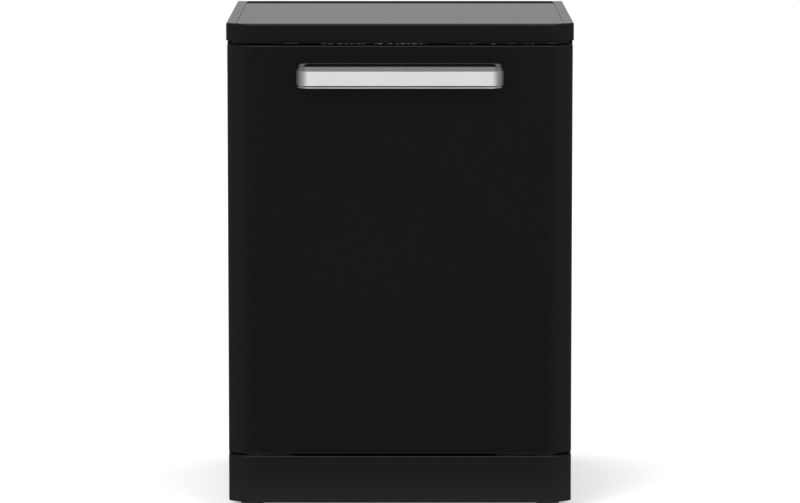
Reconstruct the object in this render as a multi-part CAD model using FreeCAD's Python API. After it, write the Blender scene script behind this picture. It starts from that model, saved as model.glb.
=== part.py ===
import FreeCAD, Part
import math
import os

# Free-standing 60 cm dishwasher. Millimetres, +Z up, the front faces -Y.
# The pieces are drawn with y = 0 on the flat front of the door and z = 0 on the floor;
# write() then moves each one so that y = 0 is the middle of the overall depth.

# ---- driving dimensions: outside ----
WORKTOP_OVERHANG = 2.0
WORKTOP_DEPTH = 600.0
OVERALL_HEIGHT = 845.0
WORKTOP_THICKNESS = 30.0
WORKTOP_TRIM_WIDTH = 18.0
WORKTOP_TRIM_GAP = 0.5
REAR_STRIP_DEPTH = 66.0
REAR_STRIP_EDGE = 0.5
BODY_WIDTH = 594.0
FRONT_CURVE_RUN = 50.0
FRONT_CURVE_RADIUS = 65.0
SIDE_EDGE_RADIUS = 4.0
FRONT_EDGE_RADIUS = 2.5
PLINTH_FLOOR_GAP = 15.5
PLINTH_HEIGHT = 81.0
PLINTH_SHEET = 2.0
DOOR_BOTTOM_GAP = 4.0
DOOR_TOP_GAP = 7.2

# ---- driving dimensions: door ----
DOOR_SHEET = 1.5
DOOR_RETURN = 43.0
DOOR_FLANGE = 20.0
LINER_PLANE = 62.0
LINER_SIDE_MARGIN = 9.0
HINGE_FROM_FRONT = 14.0
HINGE_ABOVE_DOOR_BOTTOM = 25.0
HINGE_PIN_RADIUS = 4.0
HINGE_FIT = 0.08
HINGE_ARM_FROM_SIDE = 51.0
HINGE_PLATE = 3.0
HANDLE_WIDTH = 354.0
HANDLE_HEIGHT = 37.2
HANDLE_PROUD = 40.0
HANDLE_THICKNESS = 13.0
HANDLE_BELOW_DOOR_TOP = 33.2
HANDLE_BEND_RADIUS = 22.0
FASCIA_HEIGHT = 21.0
FASCIA_WALL = 2.0
BUTTON_DEPTH = 12.0
BUTTON_PROUD = 0.8
BUTTON_GAP = 0.4
# each button: its side, the distance of its middle from that side of the door, its width
BUTTONS = {"power": (1, 35.0, 28.0), "start": (1, 104.0, 26.0), "option": (1, 187.0, 22.0), "program": (-1, 110.0, 44.0)}
DISPLAY_WIDTH = 88.0

# ---- driving dimensions: tub ----
PANEL_SHEET = 1.0
TUB_WALL = 1.5
TUB_SIDE_SPACE = 19.0
TUB_REAR_SPACE = 34.0
TUB_TOP_SPACE = 27.0
TUB_CORNER_RADIUS = 18.0
GASKET_WIDTH = 10.0
GASKET_CLEARANCE = 0.5
GASKET_THICKNESS = 3.5
LEDGE_CLEARANCE = 0.5
FLOOR_DROP = 24.0
SILL_HEIGHT = 10.0
FLOOR_LEDGE_WIDTH = 34.0

# ---- driving dimensions: baskets and spray arms ----
WHEEL_RADIUS = 17.0
WHEEL_WIDTH = 9.0
WHEEL_FIT = 0.1
AXLE_RADIUS = 4.0
WIRE = 4.0
LOWER_BASKET_HEIGHT = 108.0
UPPER_BASKET_HEIGHT = 118.0
UPPER_BASKET_FLOOR = 478.0
BASKET_FRONT_GAP = 22.0
BASKET_REAR_GAP = 26.0
ARM_THICKNESS = 12.0
ARM_WIDTH = 42.0
ARM_SWEEP_GAP = 12.0
RAIL_HEIGHT = 30.0
SHELF_WIDTH = 78.0
TINE_HEIGHT = 72.0
TINE_STEP = 90.0
TINE_SIDE_GAP = 8.0
CUTLERY_SIZE = (82.0, 220.0, 122.0)

# ---- driving dimensions: base ----
BASE_FLOOR_GAP = 20.0
BASE_FLOOR = 6.0
BASE_WALL = 3.0
BASE_RIM = 40.0
FOOT_RADIUS = 20.0
STEM_RADIUS = 5.0
STEM_FIT = 0.1
INLET_THREAD_RADIUS = 13.2
DRAIN_SPIGOT_RADIUS = 10.0
CABLE_BORE_RADIUS = 4.5
FILTER_FROM_SIDE = 168.0
SALT_FROM_SIDE = 108.0
SALT_FROM_BASE_BACK = 107.0
SCREW_STEP = 150.0

# ---- driving dimensions: pieces inside the base and the door ----
SUMP_RADIUS = 60.0
SUMP_BORE = 46.0
FILTER_RADIUS = 40.0
FILTER_FLANGE_RADIUS = 44.0
FILTER_OPENING = 62.0
SALT_OPENING = 31.0
HUB_OPENING = 15.0
PUMP_MOTOR_RADIUS = 36.0
PUMP_VOLUTE_RADIUS = 42.0
DRAIN_MOTOR_RADIUS = 24.0
SOFTENER_CORNER = 14.0
SOFTENER_NECK_RADIUS = 30.0
SOFTENER_BORE = 24.0
SALT_CAP_RADIUS = 33.0
SALT_PLUG_RADIUS = 23.5
RINSE_CAP_RADIUS = 21.0
RINSE_PLUG_RADIUS = 15.5
RINSE_NECK_RADIUS = 16.0
SCREW_HEAD_RADIUS = 3.8
LINER_SCREW_RADIUS = 3.2
ARM_HUB_RADIUS = 30.0
SPRAYER_RADIUS = 30.0
CUTLERY_WALL = 2.5
CUTLERY_GRIP_RISE = 22.0
TINE_COUNT = 9
HANDLE_CHAMFER = 3.0
FEED_WIDTH = 28.0
FEED_DEPTH = 16.0
FEED_ARM_WIDTH = 20.0
FLANGE_WIDTH = 16.0
BEAD_HEIGHT = 14.0

# ---- gaps between neighbouring pieces ----
LINER_ABOVE_HINGE = 14.5
LINER_FASCIA_GAP = 0.5
OPENING_SIDE_LIP = 10.0
OPENING_TOP_LIP = 6.0
LOWER_BASKET_SIDE_GAP = 20.0
UPPER_BASKET_SIDE_GAP = 16.0
FLOOR_ABOVE_WHEEL = 9.0
LOWER_ARM_ABOVE_FLOOR = 11.0
UPPER_ARM_BELOW_BASKET = 24.0
RAIL_ABOVE_BASKET_FLOOR = 42.0
BASE_SIDE_GAP = 5.0
BASE_FRONT_GAP = 4.0
BASE_BACK_GAP = 18.0
PANEL_BACK_GAP = 2.0
PLINTH_PANEL_GAP = 2.0
SERVICE_ABOVE_BASE = 70.0
INLET_FROM_SIDE = 62.0
DRAIN_FROM_SIDE = 142.0
GLAND_FROM_SIDE = 62.0
HINGE_ARM_DEPTH = 22.0

# ---- derived places ----
HALF = BODY_WIDTH / 2
WORKTOP_HALF = HALF + WORKTOP_OVERHANG
WORKTOP_TOP = OVERALL_HEIGHT
WORKTOP_BOTTOM = WORKTOP_TOP - WORKTOP_THICKNESS
PLINTH_TOP = PLINTH_FLOOR_GAP + PLINTH_HEIGHT
DOOR_BOTTOM = PLINTH_TOP + DOOR_BOTTOM_GAP
DOOR_TOP = WORKTOP_BOTTOM - DOOR_TOP_GAP
HINGE_Z = DOOR_BOTTOM + HINGE_ABOVE_DOOR_BOTTOM
HINGE_SWEEP = 31.0
SIDE_PANEL_FRONT = HINGE_FROM_FRONT + HINGE_SWEEP + 1.0
LINER_HALF = HALF - LINER_SIDE_MARGIN
HINGE_ARM_X = HALF - HINGE_ARM_FROM_SIDE
HINGE_ARM_BACK = HINGE_FROM_FRONT + HINGE_ARM_DEPTH
LINER_FLANGE_FRONT = HINGE_ARM_BACK + 1.0
LINER_BOTTOM = HINGE_Z + LINER_ABOVE_HINGE
FASCIA_BOTTOM = DOOR_TOP - FASCIA_HEIGHT
LINER_TOP = FASCIA_BOTTOM - LINER_FASCIA_GAP
TUB_HALF = HALF - TUB_SIDE_SPACE
TUB_BACK = WORKTOP_DEPTH - TUB_REAR_SPACE
TUB_CEILING = DOOR_TOP - TUB_TOP_SPACE
FRAME_FRONT = LINER_PLANE + GASKET_CLEARANCE + GASKET_THICKNESS
FRAME_SHEET = 2.0
TUB_FRONT = FRAME_FRONT + FRAME_SHEET
CROSSBAR_DEPTH = 34.0
OPENING_HALF = TUB_HALF - OPENING_SIDE_LIP
OPENING_TOP = TUB_CEILING - OPENING_TOP_LIP
LEDGE_Z = HINGE_Z + (LINER_PLANE - HINGE_FROM_FRONT) + LEDGE_CLEARANCE
FLOOR_Z = LEDGE_Z - FLOOR_DROP
OPENING_BOTTOM = FLOOR_Z + SILL_HEIGHT
CENTRE_Y = (TUB_FRONT + TUB_BACK) / 2
WHEEL_Z = LEDGE_Z + LEDGE_CLEARANCE + WHEEL_RADIUS
LOWER_HALF = OPENING_HALF - LOWER_BASKET_SIDE_GAP
UPPER_HALF = OPENING_HALF - UPPER_BASKET_SIDE_GAP
BASKET_FRONT = LINER_PLANE + BASKET_FRONT_GAP
BASKET_BACK = TUB_BACK - BASKET_REAR_GAP
LOWER_BASKET_FLOOR = WHEEL_Z + FLOOR_ABOVE_WHEEL
LOWER_ARM_Z = FLOOR_Z + LOWER_ARM_ABOVE_FLOOR
UPPER_ARM_Z = UPPER_BASKET_FLOOR - UPPER_ARM_BELOW_BASKET
ARM_REACH = TUB_HALF - FLOOR_LEDGE_WIDTH - ARM_SWEEP_GAP
RAIL_Z = UPPER_BASKET_FLOOR + RAIL_ABOVE_BASKET_FLOOR
BASE_HALF = HALF - BASE_SIDE_GAP
BASE_FRONT = SIDE_PANEL_FRONT + BASE_FRONT_GAP
BASE_BACK = TUB_BACK - BASE_BACK_GAP
BASE_TOP = BASE_FLOOR_GAP + BASE_RIM
FILTER_X = TUB_HALF - FILTER_FROM_SIDE
FILTER_Y = CENTRE_Y - 66.0
SALT_X = SALT_FROM_SIDE - TUB_HALF
SALT_Y = BASE_BACK - SALT_FROM_BASE_BACK
DEPTH_MIDDLE = (WORKTOP_DEPTH - HANDLE_PROUD) / 2

UP = FreeCAD.Vector(0, 0, 1)
BACK = FreeCAD.Vector(0, 1, 0)
RIGHT = FreeCAD.Vector(1, 0, 0)


def point(x, y, z):
    return FreeCAD.Vector(x, y, z)


def block(x0, x1, y0, y1, z0, z1):
    return Part.makeBox(x1 - x0, y1 - y0, z1 - z0, point(x0, y0, z0))


def rod(x, y, z, radius, length, axis=UP):
    return Part.makeCylinder(radius, length, point(x, y, z), axis)


def join(shapes):
    whole = shapes[0].fuse(shapes[1:]) if len(shapes) > 1 else shapes[0]
    return whole.removeSplitter()


def group(shapes):
    return Part.Compound(shapes)


def both_sides(make):
    return [make(-1), make(1)]


def mirror_x(shape):
    return shape.mirror(point(0, 0, 0), RIGHT)


def write(name, shape):
    moved = shape.translated(point(0, -DEPTH_MIDDLE, 0))
    moved.exportStep("parts/" + name + ".step")


def front_outline(half, back, z, inset):
    """Plan face: flat front, one large curve to each side, straight sides, square back."""
    start = half - FRONT_CURVE_RUN
    side = half - inset
    radius = FRONT_CURVE_RADIUS - inset
    turn = math.asin((side - start) / radius)

    def on_curve(sign, angle):
        y = FRONT_CURVE_RADIUS - radius * math.cos(angle)
        return point(sign * (start + radius * math.sin(angle)), y, z)

    left = [on_curve(-1, angle) for angle in (turn, turn / 2, 0)]
    right = [on_curve(1, angle) for angle in (0, turn / 2, turn)]
    edges = [
        Part.LineSegment(point(-side, back, z), left[0]).toShape(),
        Part.Arc(*left).toShape(),
        Part.LineSegment(left[2], right[0]).toShape(),
        Part.Arc(*right).toShape(),
        Part.LineSegment(right[2], point(side, back, z)).toShape(),
        Part.LineSegment(point(side, back, z), point(-side, back, z)).toShape(),
    ]
    return Part.Face(Part.Wire(edges))


def curved_block(half, back, z0, z1, inset=0.0):
    return front_outline(half, back, z0, inset).extrude(point(0, 0, z1 - z0))


def soften_front(shape, half, back, heights):
    """Rounds the upright side edges, then the edges of the front at the given heights."""
    side = [e for e in shape.Edges if is_upright(e) and e.Vertexes[0].Y < back - 1 and abs(e.Vertexes[0].X) > half - 1]
    shape = shape.makeFillet(SIDE_EDGE_RADIUS, side)
    rim = [e for e in shape.Edges if any(lies_at(e, z) for z in heights) and e.CenterOfMass.y < back - 1]
    return shape.makeFillet(FRONT_EDGE_RADIUS, rim)


def steps_between(low, high):
    """Even places from low to high, about SCREW_STEP apart."""
    count = max(1, round((high - low) / SCREW_STEP))
    return [low + (high - low) * i / count for i in range(count + 1)]


def is_upright(edge):
    first = edge.Vertexes[0].Point
    last = edge.Vertexes[-1].Point
    return abs(first.x - last.x) < 0.01 and abs(first.y - last.y) < 0.01


def lies_at(edge, z):
    return all(abs(vertex.Z - z) < 0.01 for vertex in edge.Vertexes)


def ring(half0, half1, z0, z1, z2, z3, y0, y1):
    """Upright rectangular ring: outer half0, z0..z3, inner half1, z1..z2."""
    outer = block(-half0, half0, y0, y1, z0, z3)
    return outer.cut(block(-half1, half1, y0 - 1, y1 + 1, z1, z2))


def grid(origin, along, across, size, cells, thickness):
    """Flat welded grid: a plate with rectangular windows between square wires."""
    length, width = size
    normal = along.cross(across)

    def rectangle(a0, a1, b0, b1):
        corners = [(a0, b0), (a1, b0), (a1, b1), (a0, b1), (a0, b0)]
        return Part.makePolygon([origin + along * a + across * b for a, b in corners])

    step_a = (length - WIRE) / cells[0]
    step_b = (width - WIRE) / cells[1]
    wires = [rectangle(0, length, 0, width)]
    for i in range(cells[0]):
        for j in range(cells[1]):
            a = WIRE + i * step_a
            b = WIRE + j * step_b
            wires.append(rectangle(a, a + step_a - WIRE, b, b + step_b - WIRE))
    return Part.Face(wires, "Part::FaceMakerBullseye").extrude(normal * thickness)


# ---- worktop ----
def worktop_whole():
    whole = curved_block(WORKTOP_HALF, WORKTOP_DEPTH, WORKTOP_BOTTOM, WORKTOP_TOP)
    return soften_front(whole, WORKTOP_HALF, WORKTOP_DEPTH, [WORKTOP_TOP])


def worktop_panel(whole):
    inner = WORKTOP_HALF - WORKTOP_TRIM_WIDTH - WORKTOP_TRIM_GAP
    back = WORKTOP_DEPTH - REAR_STRIP_DEPTH
    return whole.common(block(-inner, inner, -1, back, WORKTOP_BOTTOM, WORKTOP_TOP))


def worktop_side_trims(whole):
    inner = WORKTOP_HALF - WORKTOP_TRIM_WIDTH
    outer = WORKTOP_HALF + 1

    def trim(side):
        x = sorted((side * inner, side * outer))
        return whole.common(block(x[0], x[1], -1, WORKTOP_DEPTH + 1, WORKTOP_BOTTOM, WORKTOP_TOP))

    return group(both_sides(trim))


def worktop_rear_strip():
    inner = WORKTOP_HALF - WORKTOP_TRIM_WIDTH - WORKTOP_TRIM_GAP
    front = WORKTOP_DEPTH - REAR_STRIP_DEPTH
    strip = block(-inner, inner, front, WORKTOP_DEPTH, WORKTOP_BOTTOM, OVERALL_HEIGHT)
    long_edges = [e for e in strip.Edges if lies_at(e, OVERALL_HEIGHT) and e.Length > inner]
    return strip.makeFillet(REAR_STRIP_EDGE, long_edges)


# ---- cabinet ----
def plinth():
    back = SIDE_PANEL_FRONT - PLINTH_PANEL_GAP
    outer = curved_block(HALF, back, PLINTH_FLOOR_GAP, PLINTH_TOP)
    outer = soften_front(outer, HALF, back, [PLINTH_TOP])
    hollow = curved_block(HALF, back + 1, PLINTH_FLOOR_GAP - 1, PLINTH_TOP - PLINTH_SHEET, PLINTH_SHEET)
    inside = HALF - PLINTH_SHEET
    open_top = block(-inside, inside, DOOR_FLANGE, back + 1, PLINTH_TOP - PLINTH_SHEET - 1, PLINTH_TOP + 1)
    return outer.cut(hollow).cut(open_top)


def sweep_corner(half, back, bottom):
    """What is cut from the door's lower back corners so that they clear the side panels."""
    corner = block(-half, half, HINGE_FROM_FRONT, back + 1, bottom - 1, HINGE_Z)
    return corner.cut(rod(-half - 1, HINGE_FROM_FRONT, HINGE_Z, HINGE_SWEEP, 2 * half + 2, RIGHT))


def side_panel(side):
    x0, x1 = sorted((side * (HALF - PANEL_SHEET), side * HALF))
    top = WORKTOP_BOTTOM - 2.0
    back = WORKTOP_DEPTH - PANEL_BACK_GAP
    skin = block(x0, x1, SIDE_PANEL_FRONT, back, BASE_FLOOR_GAP, top)
    f0, f1 = sorted((side * (HALF - FLANGE_WIDTH), side * HALF))
    rear_flange = block(f0, f1, back - PANEL_SHEET, back, BASE_FLOOR_GAP, top)
    top_flange = block(f0, f1, TUB_FRONT + CROSSBAR_DEPTH + 2.0, back, top - PANEL_SHEET, top)
    return join([skin, rear_flange, top_flange])


def rear_panel():
    half = HALF - 18.0
    back = WORKTOP_DEPTH - PANEL_BACK_GAP
    sheet = block(-half, half, back - PANEL_SHEET, back, FLOOR_Z - 8.0, WORKTOP_BOTTOM - 4.0)
    beads = [block(-half + 60, half - 60, back - 4.0, back - PANEL_SHEET, z, z + BEAD_HEIGHT)
             for z in steps_between(FLOOR_Z + 130.0, WORKTOP_BOTTOM - 130.0)]
    return join([sheet] + beads)


def front_crossbar():
    back = TUB_FRONT + CROSSBAR_DEPTH
    bar = block(-BASE_HALF + 1, BASE_HALF - 1, TUB_FRONT, back, FASCIA_BOTTOM + 10.0, WORKTOP_BOTTOM - 2.0)
    hollow = block(-BASE_HALF, BASE_HALF, TUB_FRONT + 2.0, back - 2.0, FASCIA_BOTTOM + 9.0, WORKTOP_BOTTOM - 4.0)
    tongue_z = FASCIA_BOTTOM + 3.5
    hanger = block(-9, 9, TUB_FRONT - 2.0, TUB_FRONT, tongue_z, FASCIA_BOTTOM + 22.0)
    tongue = block(-9, 9, LINER_PLANE - 20.0, TUB_FRONT, tongue_z, tongue_z + 3.5)
    eye = block(-5, 5, LINER_PLANE - 16.0, LINER_PLANE - 6.0, tongue_z - 1, tongue_z + 5)
    return group([bar.cut(hollow), join([hanger, tongue.cut(eye)])])


# ---- tub ----
def tub_wrapper():
    """Bent sheet: both side walls and the ceiling, with rounded upper corners."""
    def section(grow):
        half = TUB_HALF + grow
        top = TUB_CEILING + grow
        radius = TUB_CORNER_RADIUS + grow
        whole = block(-half, half, TUB_FRONT, TUB_BACK, FLOOR_Z, top)
        edges = [e for e in whole.Edges if lies_at(e, top) and abs(abs(e.CenterOfMass.x) - half) < 0.01]
        return whole.makeFillet(radius, edges)

    return section(TUB_WALL).cut(section(0.0)).cut(
        block(-TUB_HALF, TUB_HALF, TUB_FRONT - 1, TUB_BACK + 1, FLOOR_Z - 1, FLOOR_Z + 30))


def tub_rear_wall():
    half = TUB_HALF + TUB_WALL
    sheet = block(-half, half, TUB_BACK, TUB_BACK + TUB_WALL, FLOOR_Z, TUB_CEILING + TUB_WALL)
    return sheet.cut(block(-12, 12, TUB_BACK - 1, TUB_BACK + 3, FLOOR_Z - 1, FLOOR_Z + 20))


def tub_floor():
    """Stepped floor: two wheel ledges, a lower middle and a front sill."""
    half = TUB_HALF - 0.2
    inner = TUB_HALF - FLOOR_LEDGE_WIDTH
    middle = block(-inner - TUB_WALL, inner + TUB_WALL, TUB_FRONT, TUB_BACK, FLOOR_Z - TUB_WALL, FLOOR_Z)

    def ledge(side):
        top0, top1 = sorted((side * inner, side * half))
        wall0, wall1 = sorted((side * inner, side * (inner + TUB_WALL)))
        top = block(top0, top1, TUB_FRONT, TUB_BACK, LEDGE_Z - TUB_WALL, LEDGE_Z)
        wall = block(wall0, wall1, TUB_FRONT, TUB_BACK, FLOOR_Z - TUB_WALL, LEDGE_Z)
        return join([top, wall])

    sill = block(-inner, inner, TUB_FRONT, TUB_FRONT + TUB_WALL, FLOOR_Z, OPENING_BOTTOM)
    floor = join([middle, sill] + both_sides(ledge))
    openings = ((FILTER_X, FILTER_Y, FILTER_OPENING), (SALT_X, SALT_Y, SALT_OPENING), (0.0, CENTRE_Y, HUB_OPENING))
    for x, y, radius in openings:
        floor = floor.cut(rod(x, y, FLOOR_Z - 5.0, radius, 10.0))
    return floor.cut(block(-14, 14, TUB_BACK - 24.0, TUB_BACK + 1, FLOOR_Z - 5.0, FLOOR_Z + 5.0))


def tub_front_frame():
    outer = HALF - 8.0
    return ring(outer, OPENING_HALF, LINER_BOTTOM, OPENING_BOTTOM, OPENING_TOP, TUB_CEILING + 8.0,
                FRAME_FRONT, TUB_FRONT)


def tub_gasket():
    half = OPENING_HALF + GASKET_WIDTH
    front = LINER_PLANE + GASKET_CLEARANCE
    return ring(half, OPENING_HALF, OPENING_BOTTOM - GASKET_WIDTH, OPENING_BOTTOM, OPENING_TOP,
                OPENING_TOP + GASKET_WIDTH, front, FRAME_FRONT)


def feed_tube():
    """Flat channel up the back wall and along the ceiling to the top sprayer."""
    y1 = TUB_BACK - 1.0
    y0 = y1 - FEED_DEPTH
    top = TUB_CEILING - 2.0
    riser = block(-FEED_WIDTH / 2, FEED_WIDTH / 2, y0, y1, FLOOR_Z - 20.0, top)
    arm = block(-FEED_ARM_WIDTH / 2, FEED_ARM_WIDTH / 2, CENTRE_Y, y0, top - 12.0, top)
    socket = rod(0, y0 - 8.0, UPPER_ARM_Z + 6.0, 10.0, 8.0, BACK)
    return group([riser, arm, socket])


def ceiling_sprayer():
    top = TUB_CEILING - 14.2
    head = rod(0, CENTRE_Y, top - 12.0, SPRAYER_RADIUS, 12.0)
    return head.makeFillet(4.0, [e for e in head.Edges if lies_at(e, top - 12.0)])


def upper_rails():
    def rail(side):
        x0 = OPENING_HALF - 9.0
        x1 = TUB_HALF - 0.3
        z0 = RAIL_Z - RAIL_HEIGHT / 2
        z1 = RAIL_Z + RAIL_HEIGHT / 2
        web = block(x1 - 2.0, x1, BASKET_FRONT - 6, BASKET_BACK + 14, z0, z1)
        lower = block(x0, x1, BASKET_FRONT - 6, BASKET_BACK + 14, z0, z0 + 2.0)
        upper = block(x0, x1, BASKET_FRONT - 6, BASKET_BACK + 14, z1 - 2.0, z1)
        channel = join([web, lower, upper])
        return channel if side > 0 else mirror_x(channel)

    return group(both_sides(rail))


def upper_slides():
    def slide(side):
        x0 = OPENING_HALF - 8.0
        z0 = RAIL_Z - RAIL_HEIGHT / 2 + 4.0
        z1 = RAIL_Z + RAIL_HEIGHT / 2 - 4.0
        bar = block(x0, x0 + 5.0, BASKET_FRONT, BASKET_BACK, z0, z1)
        return bar if side > 0 else mirror_x(bar)

    return group(both_sides(slide))


# ---- base ----
def base_tray():
    floor = block(-BASE_HALF, BASE_HALF, BASE_FRONT, BASE_BACK, BASE_FLOOR_GAP, BASE_FLOOR_GAP + BASE_FLOOR)
    front = block(-BASE_HALF, BASE_HALF, BASE_FRONT, BASE_FRONT + BASE_WALL, BASE_FLOOR_GAP, BASE_TOP)
    rear = block(-BASE_HALF, BASE_HALF, BASE_BACK - BASE_WALL, BASE_BACK, BASE_FLOOR_GAP, FLOOR_Z - 15.0)
    left = block(-BASE_HALF, -BASE_HALF + BASE_WALL, BASE_FRONT, BASE_BACK, BASE_FLOOR_GAP, BASE_TOP)
    tray = join([floor, front, rear, left, mirror_x(left)])
    bosses = [rod(x, y, BASE_FLOOR_GAP, STEM_RADIUS + 5.0, 30.0) for x, y in foot_places()[:2]]
    tray = join([tray] + bosses)
    for x, y in foot_places()[:2]:
        tray = tray.cut(rod(x, y, BASE_FLOOR_GAP - 1, STEM_RADIUS + STEM_FIT, 80.0))
    necks = ((INLET_FROM_SIDE - BASE_HALF, 9.0), (BASE_HALF - DRAIN_FROM_SIDE, 7.0), (BASE_HALF - GLAND_FROM_SIDE, 9.0))
    for x, radius in necks:
        tray = tray.cut(rod(x, BASE_BACK - 10.0, service_z(), radius + 0.2, 20.0, BACK))
    return tray


def service_z():
    return BASE_FLOOR_GAP + SERVICE_ABOVE_BASE


def foot_places():
    x = BASE_HALF - 34.0
    return [(-x, BASE_FRONT + 24.0), (x, BASE_FRONT + 24.0), (-x, BASE_BACK - 34.0), (x, BASE_BACK - 34.0)]


def front_foot(place):
    x, y = place
    pad = rod(x, y, 0, FOOT_RADIUS, 9.0)
    collar = Part.makeCone(FOOT_RADIUS * 0.8, FOOT_RADIUS * 0.5, 7.0, point(x, y, 9.0), UP)
    stem = rod(x, y, 15.0, STEM_RADIUS, BASE_TOP - 17.0)
    return join([pad, collar, stem])


def rear_feet():
    def foot(place):
        x, y = place
        pad = rod(x, y, 0, FOOT_RADIUS, 12.0)
        neck = rod(x, y, 12.0, FOOT_RADIUS * 0.7, BASE_FLOOR_GAP - 12.0)
        return join([pad, neck])

    return group([foot(place) for place in foot_places()[2:]])


def sump():
    body = rod(FILTER_X, FILTER_Y, BASE_TOP + 8.0, SUMP_RADIUS, FLOOR_Z - BASE_TOP - 9.0)
    well = rod(FILTER_X, FILTER_Y, BASE_TOP + 14.0, SUMP_BORE, 100.0)
    neck = block(0, FILTER_X, CENTRE_Y - 12, CENTRE_Y + 12, FLOOR_Z - 26.0, FLOOR_Z - 4.0)
    hub = rod(0, CENTRE_Y, FLOOR_Z - 26.0, 14.0, 36.0)
    return join([body, neck.cut(rod(FILTER_X, FILTER_Y, BASE_TOP, SUMP_RADIUS - 1.0, 120.0)), hub]).cut(well)


def filter_cartridge():
    body = rod(FILTER_X, FILTER_Y, BASE_TOP + 15.0, FILTER_RADIUS, FLOOR_Z - BASE_TOP - 13.0)
    flange = rod(FILTER_X, FILTER_Y, FLOOR_Z + 0.3, FILTER_FLANGE_RADIUS, 2.0)
    grip = block(FILTER_X - 28, FILTER_X + 28, FILTER_Y - 3, FILTER_Y + 3, FLOOR_Z + 2.0, FLOOR_Z + 8.0)
    return join([body, flange, grip])


def circulation_pump():
    z = BASE_TOP + 42.0
    motor = rod(FILTER_X - 250.0, FILTER_Y, z, PUMP_MOTOR_RADIUS, 130.0, RIGHT)
    volute = rod(FILTER_X - 120.0, FILTER_Y, z, PUMP_VOLUTE_RADIUS, 34.0, RIGHT)
    inlet = rod(FILTER_X - 86.0, FILTER_Y, z, 16.0, 28.0, RIGHT)
    return join([motor, volute, inlet]).cut(rod(FILTER_X, FILTER_Y, BASE_TOP, SUMP_RADIUS + 0.2, 120.0))


def drain_pump():
    z = BASE_TOP + 30.0
    motor = rod(FILTER_X + SUMP_RADIUS + 0.5, FILTER_Y, z, DRAIN_MOTOR_RADIUS, 74.0, RIGHT)
    return join([motor, rod(FILTER_X + 76.0, FILTER_Y, z, 10.0, 46.0, BACK)])


def water_softener():
    z1 = FLOOR_Z - 4.0
    tank = block(SALT_X - 70, SALT_X + 50, SALT_Y - 60, SALT_Y + 60, BASE_TOP + 8.0, z1 - 14.0)
    tank = tank.makeFillet(SOFTENER_CORNER, [e for e in tank.Edges if is_upright(e)])
    neck = rod(SALT_X, SALT_Y, z1 - 16.0, SOFTENER_NECK_RADIUS, 19.0)
    return join([tank, neck]).cut(rod(SALT_X, SALT_Y, BASE_TOP + 14.0, SOFTENER_BORE, 100.0))


def salt_cap():
    cap = rod(SALT_X, SALT_Y, FLOOR_Z + 0.3, SALT_CAP_RADIUS, 6.0)
    plug = rod(SALT_X, SALT_Y, FLOOR_Z - 14.0, SALT_PLUG_RADIUS, 15.0)
    grip = block(SALT_X - 24, SALT_X + 24, SALT_Y - 4, SALT_Y + 4, FLOOR_Z + 6.0, FLOOR_Z + 9.0)
    return join([cap, plug, grip])


def inlet_valve():
    x = INLET_FROM_SIDE - BASE_HALF
    body = block(x - 22, x + 22, BASE_BACK - 42.0, BASE_BACK - 4.0, service_z() - 20, service_z() + 26)
    collar = rod(x, BASE_BACK - 5.0, service_z(), 9.0, 8.0, BACK)
    flange = rod(x, BASE_BACK + 0.5, service_z(), 17.0, 3.0, BACK)
    thread = rod(x, BASE_BACK + 3.5, service_z(), INLET_THREAD_RADIUS, 16.0, BACK)
    return join([body, collar, flange, thread])


def drain_outlet():
    x = BASE_HALF - DRAIN_FROM_SIDE
    elbow = rod(x, BASE_BACK - 30.0, service_z(), 7.0, 32.0, BACK)
    flange = rod(x, BASE_BACK + 0.5, service_z(), 14.0, 3.0, BACK)
    spigot = rod(x, BASE_BACK + 3.5, service_z(), DRAIN_SPIGOT_RADIUS, 28.0, BACK)
    return join([elbow, flange, spigot])


def cable_gland():
    x = BASE_HALF - GLAND_FROM_SIDE
    body = rod(x, BASE_BACK - 12.0, service_z(), 9.0, 16.0, BACK)
    flange = rod(x, BASE_BACK + 0.5, service_z(), 13.0, 4.0, BACK)
    nose = Part.makeCone(11.0, 8.0, 14.0, point(x, BASE_BACK + 4.5, service_z()), BACK)
    bore = rod(x, BASE_BACK - 13.0, service_z(), CABLE_BORE_RADIUS, 40.0, BACK)
    return join([body, flange, nose]).cut(bore)


def cabinet_screws():
    back = WORKTOP_DEPTH - PANEL_BACK_GAP
    heads = []
    for side in (-1, 1):
        for z in steps_between(BASE_FLOOR_GAP + 40.0, WORKTOP_BOTTOM - 20.0):
            heads.append(rod(side * (HALF - 10.0), back, z, SCREW_HEAD_RADIUS, 1.8, BACK))
    return group(heads)


# ---- door ----
def door_front_panel():
    outer = curved_block(HALF, DOOR_RETURN, DOOR_BOTTOM, DOOR_TOP)
    outer = soften_front(outer, HALF, DOOR_RETURN, [DOOR_BOTTOM, DOOR_TOP])
    hollow = curved_block(HALF, DOOR_RETURN - DOOR_SHEET, DOOR_BOTTOM + DOOR_SHEET, DOOR_TOP - DOOR_SHEET, DOOR_SHEET)
    inner = LINER_HALF + 1.0
    rear_way = block(-inner, inner, DOOR_FLANGE, DOOR_RETURN + 1, DOOR_BOTTOM - 1, DOOR_TOP + 1)
    arm_way = HINGE_ARM_X - 4.0
    shell = outer.cut(hollow).cut(rear_way)
    for side in (-1, 1):
        x0, x1 = sorted((side * arm_way, side * (HALF - DOOR_SHEET)))
        shell = shell.cut(block(x0, x1, DOOR_SHEET + FRONT_EDGE_RADIUS, DOOR_FLANGE + 1,
                                DOOR_BOTTOM - 1, DOOR_BOTTOM + DOOR_SHEET + 0.01))
    return shell.cut(sweep_corner(HALF + 1, DOOR_RETURN, DOOR_BOTTOM))


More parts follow.
